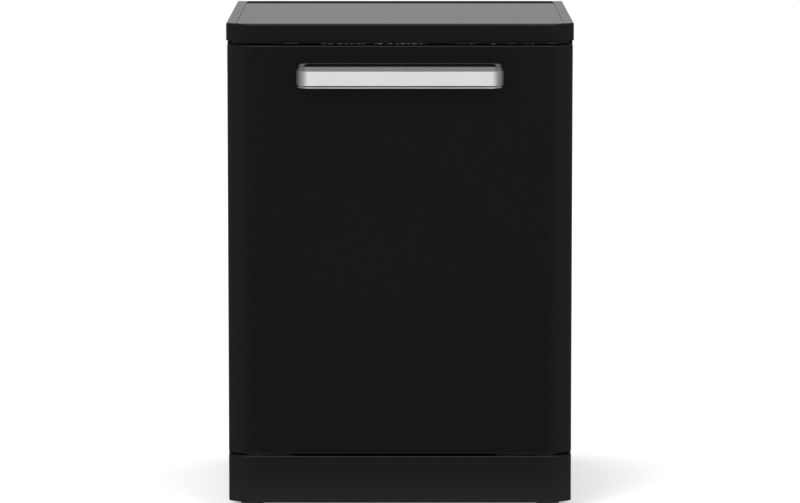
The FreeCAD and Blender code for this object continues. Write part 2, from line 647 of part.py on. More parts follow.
def door_liner():
    t = DOOR_SHEET
    pan = block(-LINER_HALF, LINER_HALF, LINER_FLANGE_FRONT, LINER_PLANE, LINER_BOTTOM, LINER_TOP)
    hollow = block(-LINER_HALF + t, LINER_HALF - t, LINER_FLANGE_FRONT - 1, LINER_PLANE - t, LINER_BOTTOM + t, LINER_TOP - t)
    x0, x1, z0, z1 = dispenser_window()
    return pan.cut(hollow).cut(block(x0, x1, LINER_PLANE - 5, LINER_PLANE + 1, z0, z1))


def fascia_slots():
    """Centre and width of each opening in the fascia's top."""
    centre = LINER_PLANE - 14.0
    return centre - BUTTON_DEPTH / 2, centre + BUTTON_DEPTH / 2


def button_place(name):
    side, distance, width = BUTTONS[name]
    return side * (HALF - distance), width


def control_fascia():
    half = LINER_HALF
    y0 = DOOR_FLANGE + 0.5
    y1 = LINER_PLANE - 0.5
    body = block(-half, half, y0, y1, FASCIA_BOTTOM, DOOR_TOP)
    body = body.cut(block(-half + 2, half - 2, y0 + 2, y1 - 2, FASCIA_BOTTOM - 1, DOOR_TOP - FASCIA_WALL))
    low, high = fascia_slots()
    for name in BUTTONS:
        x, width = button_place(name)
        body = body.cut(block(x - width / 2 - BUTTON_GAP, x + width / 2 + BUTTON_GAP,
                              low - BUTTON_GAP, high + BUTTON_GAP, DOOR_TOP - 5, DOOR_TOP + 1))
    body = body.cut(block(-DISPLAY_WIDTH / 2, DISPLAY_WIDTH / 2, low, high, DOOR_TOP - 5, DOOR_TOP + 1))
    return body.cut(block(-13, 13, y1 - 5, y1 + 1, FASCIA_BOTTOM - 1, FASCIA_BOTTOM + 10.0))


def button(name):
    x, width = button_place(name)
    low, high = fascia_slots()
    cap = block(x - width / 2, x + width / 2, low, high, DOOR_TOP - 5.8, DOOR_TOP + BUTTON_PROUD)
    return cap.makeFillet(0.5, [e for e in cap.Edges if lies_at(e, DOOR_TOP + BUTTON_PROUD)])


def display_window():
    low, high = fascia_slots()
    return block(-DISPLAY_WIDTH / 2 + 0.1, DISPLAY_WIDTH / 2 - 0.1, low + 0.1, high - 0.1, DOOR_TOP - 2.0, DOOR_TOP + 0.1)


def control_board():
    half = LINER_HALF - 6.0
    y0 = DOOR_FLANGE + 5.0
    y1 = LINER_PLANE - 5.0
    board = block(-half, half, y0, y1, DOOR_TOP - 9.6, DOOR_TOP - 8.0)
    chips = [block(x, x + 14, y0 + 4, y0 + 12, DOOR_TOP - 8.0, DOOR_TOP - 7.2) for x in (-90.0, 60.0, 220.0)]
    return join([board] + chips)


def door_latch():
    z0 = FASCIA_BOTTOM + 0.3
    body = block(-24, 24, DOOR_FLANGE + 6.0, LINER_PLANE - 4.0, z0, DOOR_TOP - 10.2)
    return body.cut(block(-12, 12, LINER_PLANE - 24.0, LINER_PLANE, z0 + 0.8, z0 + 9.0))


def handle_outline(z):
    """Plan face of the bow: a straight bar with a quarter bend back to the door at each end."""
    half = HANDLE_WIDTH / 2
    r1 = HANDLE_BEND_RADIUS
    r0 = HANDLE_BEND_RADIUS - HANDLE_THICKNESS
    front = -HANDLE_PROUD
    turn = math.sqrt(0.5)
    x1 = half - r1
    inner_y = front + HANDLE_THICKNESS
    cy = front + r1

    def arc(sign, radius, first):
        near = point(sign * x1, cy - radius, z)
        far = point(sign * (x1 + radius), cy, z)
        middle = point(sign * (x1 + radius * turn), cy - radius * turn, z)
        return Part.Arc(near, middle, far) if first else Part.Arc(far, middle, near)

    def line(xa, ya, xb, yb):
        return Part.LineSegment(point(xa, ya, z), point(xb, yb, z)).toShape()

    edges = [
        line(-x1, front, x1, front),
        arc(1, r1, True).toShape(),
        line(half, cy, half, 0),
        line(half, 0, x1 + r0, 0),
        line(x1 + r0, 0, x1 + r0, cy),
        arc(1, r0, False).toShape(),
        line(x1, inner_y, -x1, inner_y),
        arc(-1, r0, True).toShape(),
        line(-x1 - r0, cy, -x1 - r0, 0),
        line(-x1 - r0, 0, -half, 0),
        line(-half, 0, -half, cy),
        arc(-1, r1, False).toShape(),
    ]
    return Part.Face(Part.Wire(edges))


def handle_whole():
    top = DOOR_TOP - HANDLE_BELOW_DOOR_TOP
    return handle_outline(top - HANDLE_HEIGHT).extrude(point(0, 0, HANDLE_HEIGHT))


def handle_bar(whole):
    x = HANDLE_WIDTH / 2 - HANDLE_BEND_RADIUS
    top = DOOR_TOP
    bar = whole.common(block(-x, x, -HANDLE_PROUD - 1, 1, top - 100, top))
    level = DOOR_TOP - HANDLE_BELOW_DOOR_TOP
    front = [e for e in bar.Edges if abs(e.CenterOfMass.y + HANDLE_PROUD) < 0.01 and lies_at(e, level)]
    return bar.makeChamfer(HANDLE_CHAMFER, front)


def handle_ends(whole):
    x = HANDLE_WIDTH / 2 - HANDLE_BEND_RADIUS
    top = DOOR_TOP

    def end(side):
        x0, x1 = sorted((side * x, side * (x + 60)))
        return whole.common(block(x0, x1, -HANDLE_PROUD - 1, 1, top - 100, top))

    return group(both_sides(end))


def dispenser_window():
    return -96.0, 96.0, HINGE_Z + 204.0, HINGE_Z + 344.0


def dispenser_body():
    x0, x1, z0, z1 = dispenser_window()
    body = block(x0 + 0.3, x1 - 0.3, LINER_PLANE - 26.0, LINER_PLANE, z0 + 0.3, z1 - 0.3)
    face = block(x0 - 7, x1 + 7, LINER_PLANE, LINER_PLANE + 4.0, z0 - 7, z1 + 7)
    face = face.makeFillet(6.0, [e for e in face.Edges if abs(e.Vertexes[0].Y - e.Vertexes[-1].Y) > 3])
    cx0, cx1, cz0, cz1 = cup_window()
    cup = block(cx0, cx1, LINER_PLANE - 22.0, LINER_PLANE + 5.0, cz0, cz1)
    neck = rod(rinse_place()[0], LINER_PLANE - 12.0, rinse_place()[1], RINSE_NECK_RADIUS, 20.0, BACK)
    return join([body, face]).cut(cup).cut(neck)


def cup_window():
    x0, _, _, z1 = dispenser_window()
    return x0 + 16.0, x0 + 92.0, z1 - 72.0, z1 - 14.0


def rinse_place():
    _, x1, _, z1 = dispenser_window()
    return x1 - 40.0, z1 - 42.0


def dispenser_lid():
    x0, x1, z0, z1 = cup_window()
    lid = block(x0 - 4, x1 + 4, LINER_PLANE + 4.4, LINER_PLANE + 7.4, z0 - 4, z1 + 4)
    grip = block(x0 + 14, x1 - 14, LINER_PLANE + 7.4, LINER_PLANE + 9.4, z1 - 8, z1 - 4)
    return join([lid, grip])


def rinse_aid_cap():
    x, z = rinse_place()
    cap = rod(x, LINER_PLANE + 4.4, z, RINSE_CAP_RADIUS, 4.0, BACK)
    plug = rod(x, LINER_PLANE - 10.0, z, RINSE_PLUG_RADIUS, 14.5, BACK)
    grip = block(x - 15, x + 15, LINER_PLANE + 8.4, LINER_PLANE + 11.0, z - 2.5, z + 2.5)
    return join([cap, plug, grip])


def hinge_arms():
    def arm(side):
        x0 = HINGE_ARM_X
        eye = rod(x0, HINGE_FROM_FRONT, HINGE_Z, 11.0, HINGE_PLATE, RIGHT)
        plate = block(x0, x0 + HINGE_PLATE, HINGE_FROM_FRONT - 8.0, HINGE_ARM_BACK, HINGE_Z, HINGE_Z + 145.0)
        hole = rod(x0 - 1, HINGE_FROM_FRONT, HINGE_Z, HINGE_PIN_RADIUS + HINGE_FIT, HINGE_PLATE + 2, RIGHT)
        whole = join([eye, plate]).cut(hole)
        return whole if side > 0 else mirror_x(whole)

    return group(both_sides(arm))


def hinge_brackets():
    def bracket(side):
        x0 = HINGE_ARM_X + HINGE_PLATE + 2.0
        eye = rod(x0, HINGE_FROM_FRONT, HINGE_Z, 10.0, HINGE_PLATE, RIGHT)
        neck = block(x0, x0 + HINGE_PLATE, HINGE_FROM_FRONT, BASE_FRONT + 44.0, HINGE_Z - 10.0, HINGE_Z + 10.0)
        leg = block(x0, x0 + HINGE_PLATE, BASE_FRONT + 4.0, BASE_FRONT + 44.0, BASE_TOP + 6.0, HINGE_Z)
        pin = rod(x0 - HINGE_PLATE - 4.0, HINGE_FROM_FRONT, HINGE_Z, HINGE_PIN_RADIUS, HINGE_PLATE + 4.5, RIGHT)
        foot = block(x0 - 12, x0 + HINGE_PLATE, BASE_FRONT + 4.0, BASE_FRONT + 44.0, BASE_TOP + 3.0, BASE_TOP + 6.0)
        whole = join([eye, neck, leg, pin, foot])
        return whole if side > 0 else mirror_x(whole)

    return group(both_sides(bracket))


def door_screws():
    heads = []
    for side in (-1, 1):
        for z in steps_between(LINER_BOTTOM + 30.0, LINER_TOP - 24.0):
            heads.append(rod(side * (LINER_HALF - 5.0), LINER_PLANE, z, LINER_SCREW_RADIUS, 1.6, BACK))
    return group(heads)


# ---- baskets ----
def basket(half, front, back, floor, height, cells, wall_cells):
    """Five flat grids, a floor and four walls, that meet face to face."""
    length = back - front
    t = WIRE
    floor_grid = grid(point(-half + t, front + t, floor), RIGHT, BACK, (2 * half - 2 * t, length - 2 * t), cells, t)
    front_grid = grid(point(-half, front + t, floor), RIGHT, UP, (2 * half, height), (cells[0], wall_cells), t)
    rear_grid = grid(point(-half, back, floor), RIGHT, UP, (2 * half, height), (cells[0], wall_cells), t)
    side_size = (length - 2 * t, height)
    left = grid(point(-half, front + t, floor), BACK, UP, side_size, (cells[1], wall_cells), t)
    right = grid(point(half - t, front + t, floor), BACK, UP, side_size, (cells[1], wall_cells), t)
    return [floor_grid, front_grid, rear_grid, left, right]


def upper_basket_frame():
    pieces = basket(UPPER_HALF, BASKET_FRONT + 4, BASKET_BACK, UPPER_BASKET_FLOOR, UPPER_BASKET_HEIGHT, (8, 8), 3)
    for side in (-1, 1):
        x0, x1 = sorted((side * UPPER_HALF, side * (UPPER_HALF + 6.0)))
        pieces.append(block(x0, x1, BASKET_FRONT + 10, BASKET_BACK - 6, RAIL_Z - 9.0, RAIL_Z + 9.0))
    hub = rod(0, CENTRE_Y, UPPER_ARM_Z + ARM_THICKNESS + 1.0, 14.0, UPPER_BASKET_FLOOR - UPPER_ARM_Z - ARM_THICKNESS - 1.0)
    pieces.append(hub)
    return group(pieces)


def spray_arm(z, reach):
    """Flat hollow bar with round ends and a wider hub, turned about the upright axis."""
    bar = block(-reach + ARM_WIDTH / 2, reach - ARM_WIDTH / 2, CENTRE_Y - ARM_WIDTH / 2, CENTRE_Y + ARM_WIDTH / 2,
                z, z + ARM_THICKNESS)
    ends = [rod(side * (reach - ARM_WIDTH / 2), CENTRE_Y, z, ARM_WIDTH / 2, ARM_THICKNESS) for side in (-1, 1)]
    hub = rod(0, CENTRE_Y, z, ARM_HUB_RADIUS, ARM_THICKNESS)
    return join([bar, hub] + ends)


def upper_spray_arm():
    return spray_arm(UPPER_ARM_Z, min(ARM_REACH, (BASKET_BACK - BASKET_FRONT) / 2 - 6.0))


def lower_spray_arm():
    return spray_arm(LOWER_ARM_Z, min(ARM_REACH, (BASKET_BACK - BASKET_FRONT) / 2 - 6.0))


def cup_shelf(side):
    """Folded up against the basket's side; its lower edge is the hinge line."""
    x = UPPER_HALF - WIRE - 8.0
    z = UPPER_BASKET_FLOOR + 62.0
    length = BASKET_BACK - BASKET_FRONT - 100.0
    shelf = grid(point(x, BASKET_FRONT + 50.0, z), BACK, UP, (length, SHELF_WIDTH), (6, 2), WIRE)
    return shelf if side > 0 else mirror_x(shelf)


def lower_basket_frame():
    pieces = basket(LOWER_HALF, BASKET_FRONT, BASKET_BACK, LOWER_BASKET_FLOOR, LOWER_BASKET_HEIGHT, (8, 8), 2)
    for x, y in wheel_places():
        x0, x1 = sorted((math.copysign(LOWER_HALF - 8.0, x), math.copysign(LOWER_HALF - 1.0, x)))
        hanger = block(x0, x1, y - 9.0, y + 9.0, WHEEL_Z - 6.0, LOWER_BASKET_FLOOR)
        start = LOWER_HALF - 4.0 if x > 0 else -LOWER_HALF - 2.0 - WHEEL_WIDTH
        axle = rod(start, y, WHEEL_Z, AXLE_RADIUS, WHEEL_WIDTH + 6.0, RIGHT)
        pieces.append(join([hanger, axle]))
    return group(pieces)


def wheel_places():
    """Wheel centres: two on each side, the front pair set back so that it stays on the ledge."""
    x = LOWER_HALF + 1.0
    ys = (BASKET_FRONT + 92.0, BASKET_BACK - 60.0)
    return [(side * x, y) for y in ys for side in (-1, 1)]


def wheel_pair(places):
    wheels = []
    for x, y in places:
        start = x if x > 0 else x - WHEEL_WIDTH
        wheel = rod(start, y, WHEEL_Z, WHEEL_RADIUS, WHEEL_WIDTH, RIGHT)
        wheel = wheel.makeChamfer(1.0, [e for e in wheel.Edges if e.Closed and e.Length > 6 * WHEEL_RADIUS])
        wheels.append(wheel.cut(rod(start - 1, y, WHEEL_Z, AXLE_RADIUS + WHEEL_FIT, WHEEL_WIDTH + 2, RIGHT)))
    return group(wheels)


def tine_rack(x):
    """Row of upright tines on a base wire that turns to lay them down."""
    z = LOWER_BASKET_FLOOR + WIRE + 4.0
    y0 = BASKET_FRONT + 50.0
    y1 = BASKET_BACK - 40.0
    base = rod(x, y0, z, WIRE / 2, y1 - y0, BACK)
    step = (y1 - y0 - 20.0) / (TINE_COUNT - 1)
    tines = [rod(x, y0 + 10.0 + i * step, z, WIRE / 2 - 0.2, TINE_HEIGHT) for i in range(TINE_COUNT)]
    return join([base] + tines)


def cutlery_basket():
    width, length, height = CUTLERY_SIZE
    x0 = -LOWER_HALF + WIRE + 4.0
    y0 = BASKET_FRONT + 30.0
    z0 = LOWER_BASKET_FLOOR + WIRE + 0.6
    t = CUTLERY_WALL
    x1, y1, z1 = x0 + width, y0 + length, z0 + height
    middle = (y0 + y1) / 2
    return group([
        block(x0 + t, x1 - t, y0 + t, y1 - t, z0, z0 + t),
        block(x0, x1, y0, y0 + t, z0, z1),
        block(x0, x1, y1 - t, y1, z0, z1),
        block(x0, x0 + t, y0 + t, y1 - t, z0, z1),
        block(x1 - t, x1, y0 + t, y1 - t, z0, z1),
        block(x0 + t, x1 - t, middle - t / 2, middle + t / 2, z0 + t, z1 + CUTLERY_GRIP_RISE),
    ])


def main():
    os.makedirs("parts", exist_ok=True)
    worktop = worktop_whole()
    handle = handle_whole()
    feet = foot_places()
    wheels = wheel_places()
    pieces = {
        "worktop_panel": worktop_panel(worktop),
        "worktop_side_trims": worktop_side_trims(worktop),
        "worktop_rear_strip": worktop_rear_strip(),
        "plinth": plinth(),
        "side_panel_left": side_panel(-1),
        "side_panel_right": side_panel(1),
        "rear_panel": rear_panel(),
        "front_crossbar": front_crossbar(),
        "tub_wrapper": tub_wrapper(),
        "tub_rear_wall": tub_rear_wall(),
        "tub_floor": tub_floor(),
        "tub_front_frame": tub_front_frame(),
        "tub_gasket": tub_gasket(),
        "feed_tube": feed_tube(),
        "ceiling_sprayer": ceiling_sprayer(),
        "upper_rails": upper_rails(),
        "base_tray": base_tray(),
        "rear_feet": rear_feet(),
        "front_foot_left": front_foot(feet[0]),
        "front_foot_right": front_foot(feet[1]),
        "sump": sump(),
        "filter_cartridge": filter_cartridge(),
        "circulation_pump": circulation_pump(),
        "drain_pump": drain_pump(),
        "water_softener": water_softener(),
        "salt_cap": salt_cap(),
        "inlet_valve": inlet_valve(),
        "drain_outlet": drain_outlet(),
        "cable_gland": cable_gland(),
        "cabinet_screws": cabinet_screws(),
        "hinge_brackets": hinge_brackets(),
        "door_front_panel": door_front_panel(),
        "door_liner": door_liner(),
        "control_fascia": control_fascia(),
        "display_window": display_window(),
        "control_board": control_board(),
        "door_latch": door_latch(),
        "handle_bar": handle_bar(handle),
        "handle_ends": handle_ends(handle),
        "dispenser_body": dispenser_body(),
        "dispenser_lid": dispenser_lid(),
        "rinse_aid_cap": rinse_aid_cap(),
        "hinge_arms": hinge_arms(),
        "door_screws": door_screws(),
        "upper_slides": upper_slides(),
        "upper_basket_frame": upper_basket_frame(),
        "upper_spray_arm": upper_spray_arm(),
        "cup_shelf_left": cup_shelf(-1),
        "cup_shelf_right": cup_shelf(1),
        "lower_basket_frame": lower_basket_frame(),
        "lower_wheels_front": wheel_pair(wheels[:2]),
        "lower_wheels_rear": wheel_pair(wheels[2:]),
        "tine_rack_centre": tine_rack(LOWER_HALF - 2 * TINE_STEP - TINE_SIDE_GAP),
        "tine_rack_right": tine_rack(LOWER_HALF - TINE_STEP - TINE_SIDE_GAP),
        "cutlery_basket": cutlery_basket(),
        "lower_spray_arm": lower_spray_arm(),
    }
    for name in BUTTONS:
        pieces["button_" + name] = button(name)
    for name, shape in pieces.items():
        write(name, shape)


main()
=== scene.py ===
import math

import bmesh
import bpy
from mathutils import Matrix, Vector


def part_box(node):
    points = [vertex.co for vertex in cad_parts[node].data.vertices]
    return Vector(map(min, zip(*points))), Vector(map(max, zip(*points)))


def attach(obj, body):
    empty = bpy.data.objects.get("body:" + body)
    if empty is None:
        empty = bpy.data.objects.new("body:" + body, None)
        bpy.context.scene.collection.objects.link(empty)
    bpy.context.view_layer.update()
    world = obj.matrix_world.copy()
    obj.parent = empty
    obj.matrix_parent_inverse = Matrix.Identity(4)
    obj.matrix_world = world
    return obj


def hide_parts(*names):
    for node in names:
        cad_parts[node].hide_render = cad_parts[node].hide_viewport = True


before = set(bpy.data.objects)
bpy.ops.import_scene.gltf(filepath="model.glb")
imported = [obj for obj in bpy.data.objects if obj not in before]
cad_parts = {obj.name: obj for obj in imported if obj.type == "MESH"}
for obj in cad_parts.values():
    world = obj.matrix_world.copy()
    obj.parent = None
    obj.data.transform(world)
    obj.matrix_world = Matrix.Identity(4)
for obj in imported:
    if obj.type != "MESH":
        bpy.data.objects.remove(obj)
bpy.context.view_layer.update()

# Lengths are in metres. MM turns millimetres into them.
MM = 0.001
FRONT_RUN = 50 * MM          # how far in from each side the front starts to curve
FRONT_RADIUS = 65 * MM       # radius of that curve
FRONT_TURN = math.asin(FRONT_RUN / FRONT_RADIUS)
ARC_STEPS = 20
TIGHT_FOLD = 1.2 * MM         # fold at the top of the door and of the plinth
SIDE_ROUND = 4 * MM
RIM_ROUND = 2.5 * MM


# ---------------------------------------------------------------- materials

def srgb(code):
    """Hex colour to linear RGBA."""
    values = [int(code[i:i + 2], 16) / 255 for i in (0, 2, 4)]
    linear = [v / 12.92 if v <= 0.04045 else ((v + 0.055) / 1.055) ** 2.4 for v in values]
    return (*linear, 1.0)


def add(tree, kind, inputs=None, **settings):
    """Adds a node with its settings; inputs are values or the sockets that feed them."""
    made = tree.nodes.new(kind)
    for key, value in settings.items():
        setattr(made, key, value)
    for key, value in (inputs or {}).items():
        if isinstance(value, bpy.types.NodeSocket):
            tree.links.new(value, made.inputs[key])
        else:
            made.inputs[key].default_value = value
    return made


def surface(name, colour, second=None, rough=0.4, rough_spread=0.05, grain_mm=1.0, bump_mm=0.02,
            stretch=(1, 1, 1), cloud_mm=60.0, cloud=0.3, detail=2.0, voronoi=False, **shader):
    """One finish: fine grain in bump and roughness, and a slow cloud between two close colours.

    grain_mm is the real spacing of the grain, bump_mm its height, stretch draws it out along an axis."""
    material = bpy.data.materials.new(name)
    material.use_nodes = True
    tree = material.node_tree
    tree.nodes.clear()
    place = add(tree, "ShaderNodeTexCoord").outputs["Object"]
    drawn = add(tree, "ShaderNodeMapping", {"Vector": place, "Scale": stretch}).outputs["Vector"]
    if voronoi:
        grain = add(tree, "ShaderNodeTexVoronoi", {"Vector": drawn,
                                                   "Scale": 1 / (grain_mm * MM)}).outputs["Color"]
        grain = add(tree, "ShaderNodeRGBToBW", {"Color": grain}).outputs["Val"]
    else:
        grain = add(tree, "ShaderNodeTexNoise", {"Vector": drawn, "Scale": 1 / (grain_mm * MM),
                                                 "Detail": detail,
                                                "Roughness": 0.55}).outputs["Fac"]
    slow = add(tree, "ShaderNodeTexNoise", {"Vector": place, "Scale": 1 / (cloud_mm * MM), "Detail": 3.0})
    part = add(tree, "ShaderNodeMapRange", {"Value": slow.outputs["Fac"], "From Min": 0.3, "From Max": 0.7,
                                            "To Min": 0.0, "To Max": cloud}).outputs["Result"]
    if voronoi:
        part = add(tree, "ShaderNodeMath", {0: grain, 1: part}, operation="MULTIPLY_ADD").outputs["Value"]
    paint = add(tree, "ShaderNodeMix", {0: part, 6: srgb(colour), 7: srgb(second or colour)},
                data_type="RGBA")
    spread = add(tree, "ShaderNodeMapRange", {"Value": grain, "From Min": 0.25, "From Max": 0.75,
                                              "To Min": max(0.0, rough - rough_spread),
                                              "To Max": rough + rough_spread}).outputs["Result"]
    bump = add(tree, "ShaderNodeBump", {"Height": grain, "Distance": bump_mm * MM, "Strength": 1.0})
    body = add(tree, "ShaderNodeBsdfPrincipled", {"Base Color": paint.outputs[2], "Roughness": spread,
                                                  "Normal": bump.outputs["Normal"]})
    for key, value in shader.items():
        body.inputs[key.replace("_", " ")].default_value = value
    add(tree, "ShaderNodeOutputMaterial", {"Surface": body.outputs["BSDF"]})
    return material


# Stoved gloss enamel on the door: deep black, with the faint orange peel of a sprayed coat.
BLACK_ENAMEL = surface("gloss_black_stoved_enamel", "0b0b0c", "0d0d0e", rough=0.07, rough_spread=0.015,
                       grain_mm=2.6, bump_mm=0.0012, cloud_mm=220, IOR=1.5)
# High-gloss laminate on the worktop, a little softer in its reflections than the enamel.
BLACK_LAMINATE = surface("gloss_black_laminate", "0c0c0d", "101011", rough=0.1, rough_spread=0.03,
                         grain_mm=0.9, bump_mm=0.001, cloud_mm=160, IOR=1.48)
# Moulded gloss ABS of the plinth.
BLACK_ABS = surface("gloss_black_moulded_abs", "0c0c0d", "0f0f10", rough=0.2, rough_spread=0.04,
                    grain_mm=1.4, bump_mm=0.002, cloud_mm=120, IOR=1.5)
# Deep black ABS of the control strip, polished in the mould.
FASCIA_ABS = surface("polished_black_moulded_abs", "040404", "060606", rough=0.3, rough_spread=0.04,
                     grain_mm=1.2, bump_mm=0.003, cloud_mm=60, Specular_IOR_Level=0.15)
# Fine spark-eroded texture of matt polypropylene mouldings.
BLACK_PP = surface("matt_black_moulded_polypropylene", "101011", "141415", rough=0.55, rough_spread=0.08,
                   grain_mm=0.5, bump_mm=0.03, cloud_mm=40, Specular_IOR_Level=0.2)
# Rear profile of the worktop: coarse spark-eroded ABS that takes no shine even at a flat angle.
REAR_ABS = surface("matt_black_textured_abs", "161617", "1b1b1c", rough=0.85, rough_spread=0.05, grain_mm=0.9,
                   bump_mm=0.04, cloud_mm=60, Specular_IOR_Level=0.03)
# Powder coat on the side panels: satin, with its pebbled skin.
BLACK_POWDER = surface("satin_black_powder_coat", "141415", "19191a", rough=0.38, rough_spread=0.07,
                       grain_mm=0.8, bump_mm=0.02, cloud_mm=200)
# Anodised aluminium of the handle, brushed along its length.
SATIN_ALUMINIUM = surface("brushed_anodised_aluminium", "e6e7e8", "dcdddf", rough=0.42, rough_spread=0.07,
                          grain_mm=0.35, bump_mm=0.004, stretch=(0.012, 1, 1), cloud_mm=30, Metallic=1.0)
# The same aluminium where its edge is diamond-cut and polished.
POLISHED_ALUMINIUM = surface("polished_aluminium_edge", "e2e3e5", "d4d6d8", rough=0.09, rough_spread=0.03,
                             grain_mm=0.5, bump_mm=0.0008, stretch=(0.02, 1, 1), cloud_mm=20, Metallic=1.0)
# Cold-rolled stainless sheet of the tub with a fine lengthways grain.
TUB_STEEL = surface("fine_brushed_stainless_sheet", "c9cac8", "b9bab8", rough=0.24, rough_spread=0.07,
                    grain_mm=0.5, bump_mm=0.003, stretch=(1, 1, 0.02), cloud_mm=90, Metallic=1.0)
# Stainless sheet of the door's inside: a soft streak across the width, so reflections draw out sideways.
LINER_STEEL = surface("fine_brushed_stainless_liner", "cdcecc", "bebfbd", rough=0.22, rough_spread=0.06,
                      grain_mm=0.5, bump_mm=0.003, stretch=(0.02, 1, 1), cloud_mm=90, Metallic=1.0)
# Hot-dip galvanised sheet: crystals of a few millimetres, each a slightly different grey.
GALVANISED = surface("galvanised_sheet_spangle", "a9adb0", "8d9194", rough=0.36, rough_spread=0.1,
                     grain_mm=9.0, bump_mm=0.004, cloud_mm=50, voronoi=True, Metallic=1.0)
# Bright zinc plate: a cool, slightly cloudy metal on hinges, rails and screws.
ZINC_STEEL = surface("bright_zinc_plated_steel", "b8babd", "a2a5a9", rough=0.27, rough_spread=0.08,
                     grain_mm=0.8, bump_mm=0.004, cloud_mm=15, Metallic=1.0)
# Nylon powder dipped wire: soft satin grey, slightly pooled.
COATED_WIRE = surface("nylon_coated_grey_wire", "8e9296", "7f8387", rough=0.36, rough_spread=0.06,
                      grain_mm=2.2, bump_mm=0.02, cloud_mm=12)
# Mid grey moulded polypropylene: an even, soft surface with a fine grain and a broad, dull highlight.
GREY_PP = surface("matt_grey_moulded_polypropylene", "8b8f93", "7f8387", rough=0.48, rough_spread=0.07,
                  grain_mm=0.6, bump_mm=0.02, cloud_mm=30)
# Dark grey moulding of the base: coarse and dull, so it stays quiet under the tub.
DARK_PP = surface("dark_grey_moulded_polypropylene", "3b3d40", "333538", rough=0.52, rough_spread=0.07,
                  grain_mm=0.6, bump_mm=0.025, cloud_mm=30)
# Undyed polypropylene: milky, with a little light coming through its edges.
WHITE_PP = surface("natural_white_polypropylene", "dcdcd6", "cfcfc8", rough=0.45, rough_spread=0.06,
                   grain_mm=1.1, bump_mm=0.015, cloud_mm=25, Subsurface_Weight=0.08)
# Blue moulding of the rinse-aid cap: the one clear colour inside, with a soft shine.
BLUE_PP = surface("blue_moulded_polypropylene", "3d5f95", "35568a", rough=0.4, rough_spread=0.06,
                  grain_mm=0.7, bump_mm=0.015, cloud_mm=15)
# Extruded rubber: dull and dusty black, lighter than the enamel beside it.
SEAL_RUBBER = surface("black_extruded_seal_rubber", "1a1a1b", "222223", rough=0.7, rough_spread=0.08,
                      grain_mm=0.5, bump_mm=0.03, cloud_mm=12)
# Tinted window of the display: near black, with sharp reflections and marks that shine through.
SMOKED_WINDOW = surface("smoked_polycarbonate_window", "050506", "070708", rough=0.04, rough_spread=0.01,
                        grain_mm=3.0, bump_mm=0.0005, cloud_mm=40, IOR=1.585)
# Screen-printed ink: flat light grey, with a painted glow (emission) that lifts the marks so they read in the
# shaded gap under the worktop.
PRINTED_INK_WITH_PAINTED_GLOW = surface("light_grey_printed_ink_painted_glow", "a6a9ab", "97999b", rough=0.5, rough_spread=0.06,
                      grain_mm=0.3, bump_mm=0.004, cloud_mm=4, Emission_Strength=0.24)
# Frosted lens: pale, glowing faintly and evenly.
LAMP_LENS = surface("frosted_lamp_lens", "e6e9ea", "d8dcde", rough=0.35, rough_spread=0.05, grain_mm=0.4,
                    bump_mm=0.003, cloud_mm=3, Emission_Strength=0.35)
# Solder resist: dark green with a low, uneven gloss.
CIRCUIT_BOARD = surface("green_solder_resist", "1d4a2c", "235637", rough=0.35, rough_spread=0.08,
                        grain_mm=1.5, bump_mm=0.01, cloud_mm=8)
# Etched sheet: small cells that sparkle one by one like a fine sieve.
FILTER_MESH = surface("etched_stainless_micro_filter", "aeb0b1", "8f9193", rough=0.34, rough_spread=0.1,
                      grain_mm=0.9, bump_mm=0.12, cloud_mm=10, voronoi=True, Metallic=1.0)


# ---------------------------------------------------------------- mesh helpers

def spot(x, y, z):
    return Matrix.Translation((x, y, z))


def piece(name, bm, materials, body, stands_for=(), sharp=35.0, weighted=True, wall=0.0,
          outward=False):
    """Turns a finished bmesh into an object that rides on a body. wall is a sheet's thickness."""
    bmesh.ops.recalc_face_normals(bm, faces=bm.faces)
    limit = math.radians(sharp)
    for face in bm.faces:
        face.smooth = True
    for edge in bm.edges:
        edge.smooth = edge.is_manifold and edge.calc_face_angle(0.0) < limit
    mesh = bpy.data.meshes.new(name)
    bm.to_mesh(mesh)
    bm.free()
    for material in materials:
        mesh.materials.append(material)
    obj = bpy.data.objects.new(name, mesh)
    bpy.context.collection.objects.link(obj)
    if wall:
        sheet = obj.modifiers.new("sheet thickness", "SOLIDIFY")
        sheet.thickness = wall
        sheet.offset = 1.0 if outward else -1.0
        sheet.use_even_offset = True
    if weighted:
        smooth = obj.modifiers.new("flat faces stay flat", "WEIGHTED_NORMAL")
        smooth.keep_sharp = True
    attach(obj, body)
    if stands_for:
        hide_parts(*stands_for)
    return obj


def dress(node, material):
    """Gives a CAD piece that keeps its own shape its material."""
    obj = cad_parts[node]
    for holder in obj.material_slots:
        holder.link = "OBJECT"
        holder.material = material


def round_edges(bm, edges, radius, segments):
    return bmesh.ops.bevel(bm, geom=edges, offset=radius, offset_type="OFFSET", affect="EDGES",
                           segments=segments, profile=0.5, material=-1)


def cut_all(bm, place, way, **settings):
    """Cuts every face of the mesh along a plane through place."""
    every = list(bm.verts) + list(bm.edges) + list(bm.faces)
    return bmesh.ops.bisect_plane(bm, geom=every, plane_co=place, plane_no=way, **settings)


def slab(bm, low, high, bevel=0.0, segments=3, material=0):
    """Box between two corners with softened edges. Returns its faces."""
    low, high = Vector(low), Vector(high)
    made = bmesh.ops.create_cube(bm, size=1.0)
    verts = made["verts"]
    bmesh.ops.scale(bm, vec=high - low, verts=verts)
    bmesh.ops.translate(bm, vec=(low + high) / 2, verts=verts)
    edges = list({edge for vert in verts for edge in vert.link_edges})
    faces = list({face for vert in verts for face in vert.link_faces})
    if bevel:
        cut = round_edges(bm, edges, bevel, segments)
        faces = list({face for face in faces if face.is_valid} | set(cut["faces"]))
    for face in faces:
        face.material_index = material
    return faces


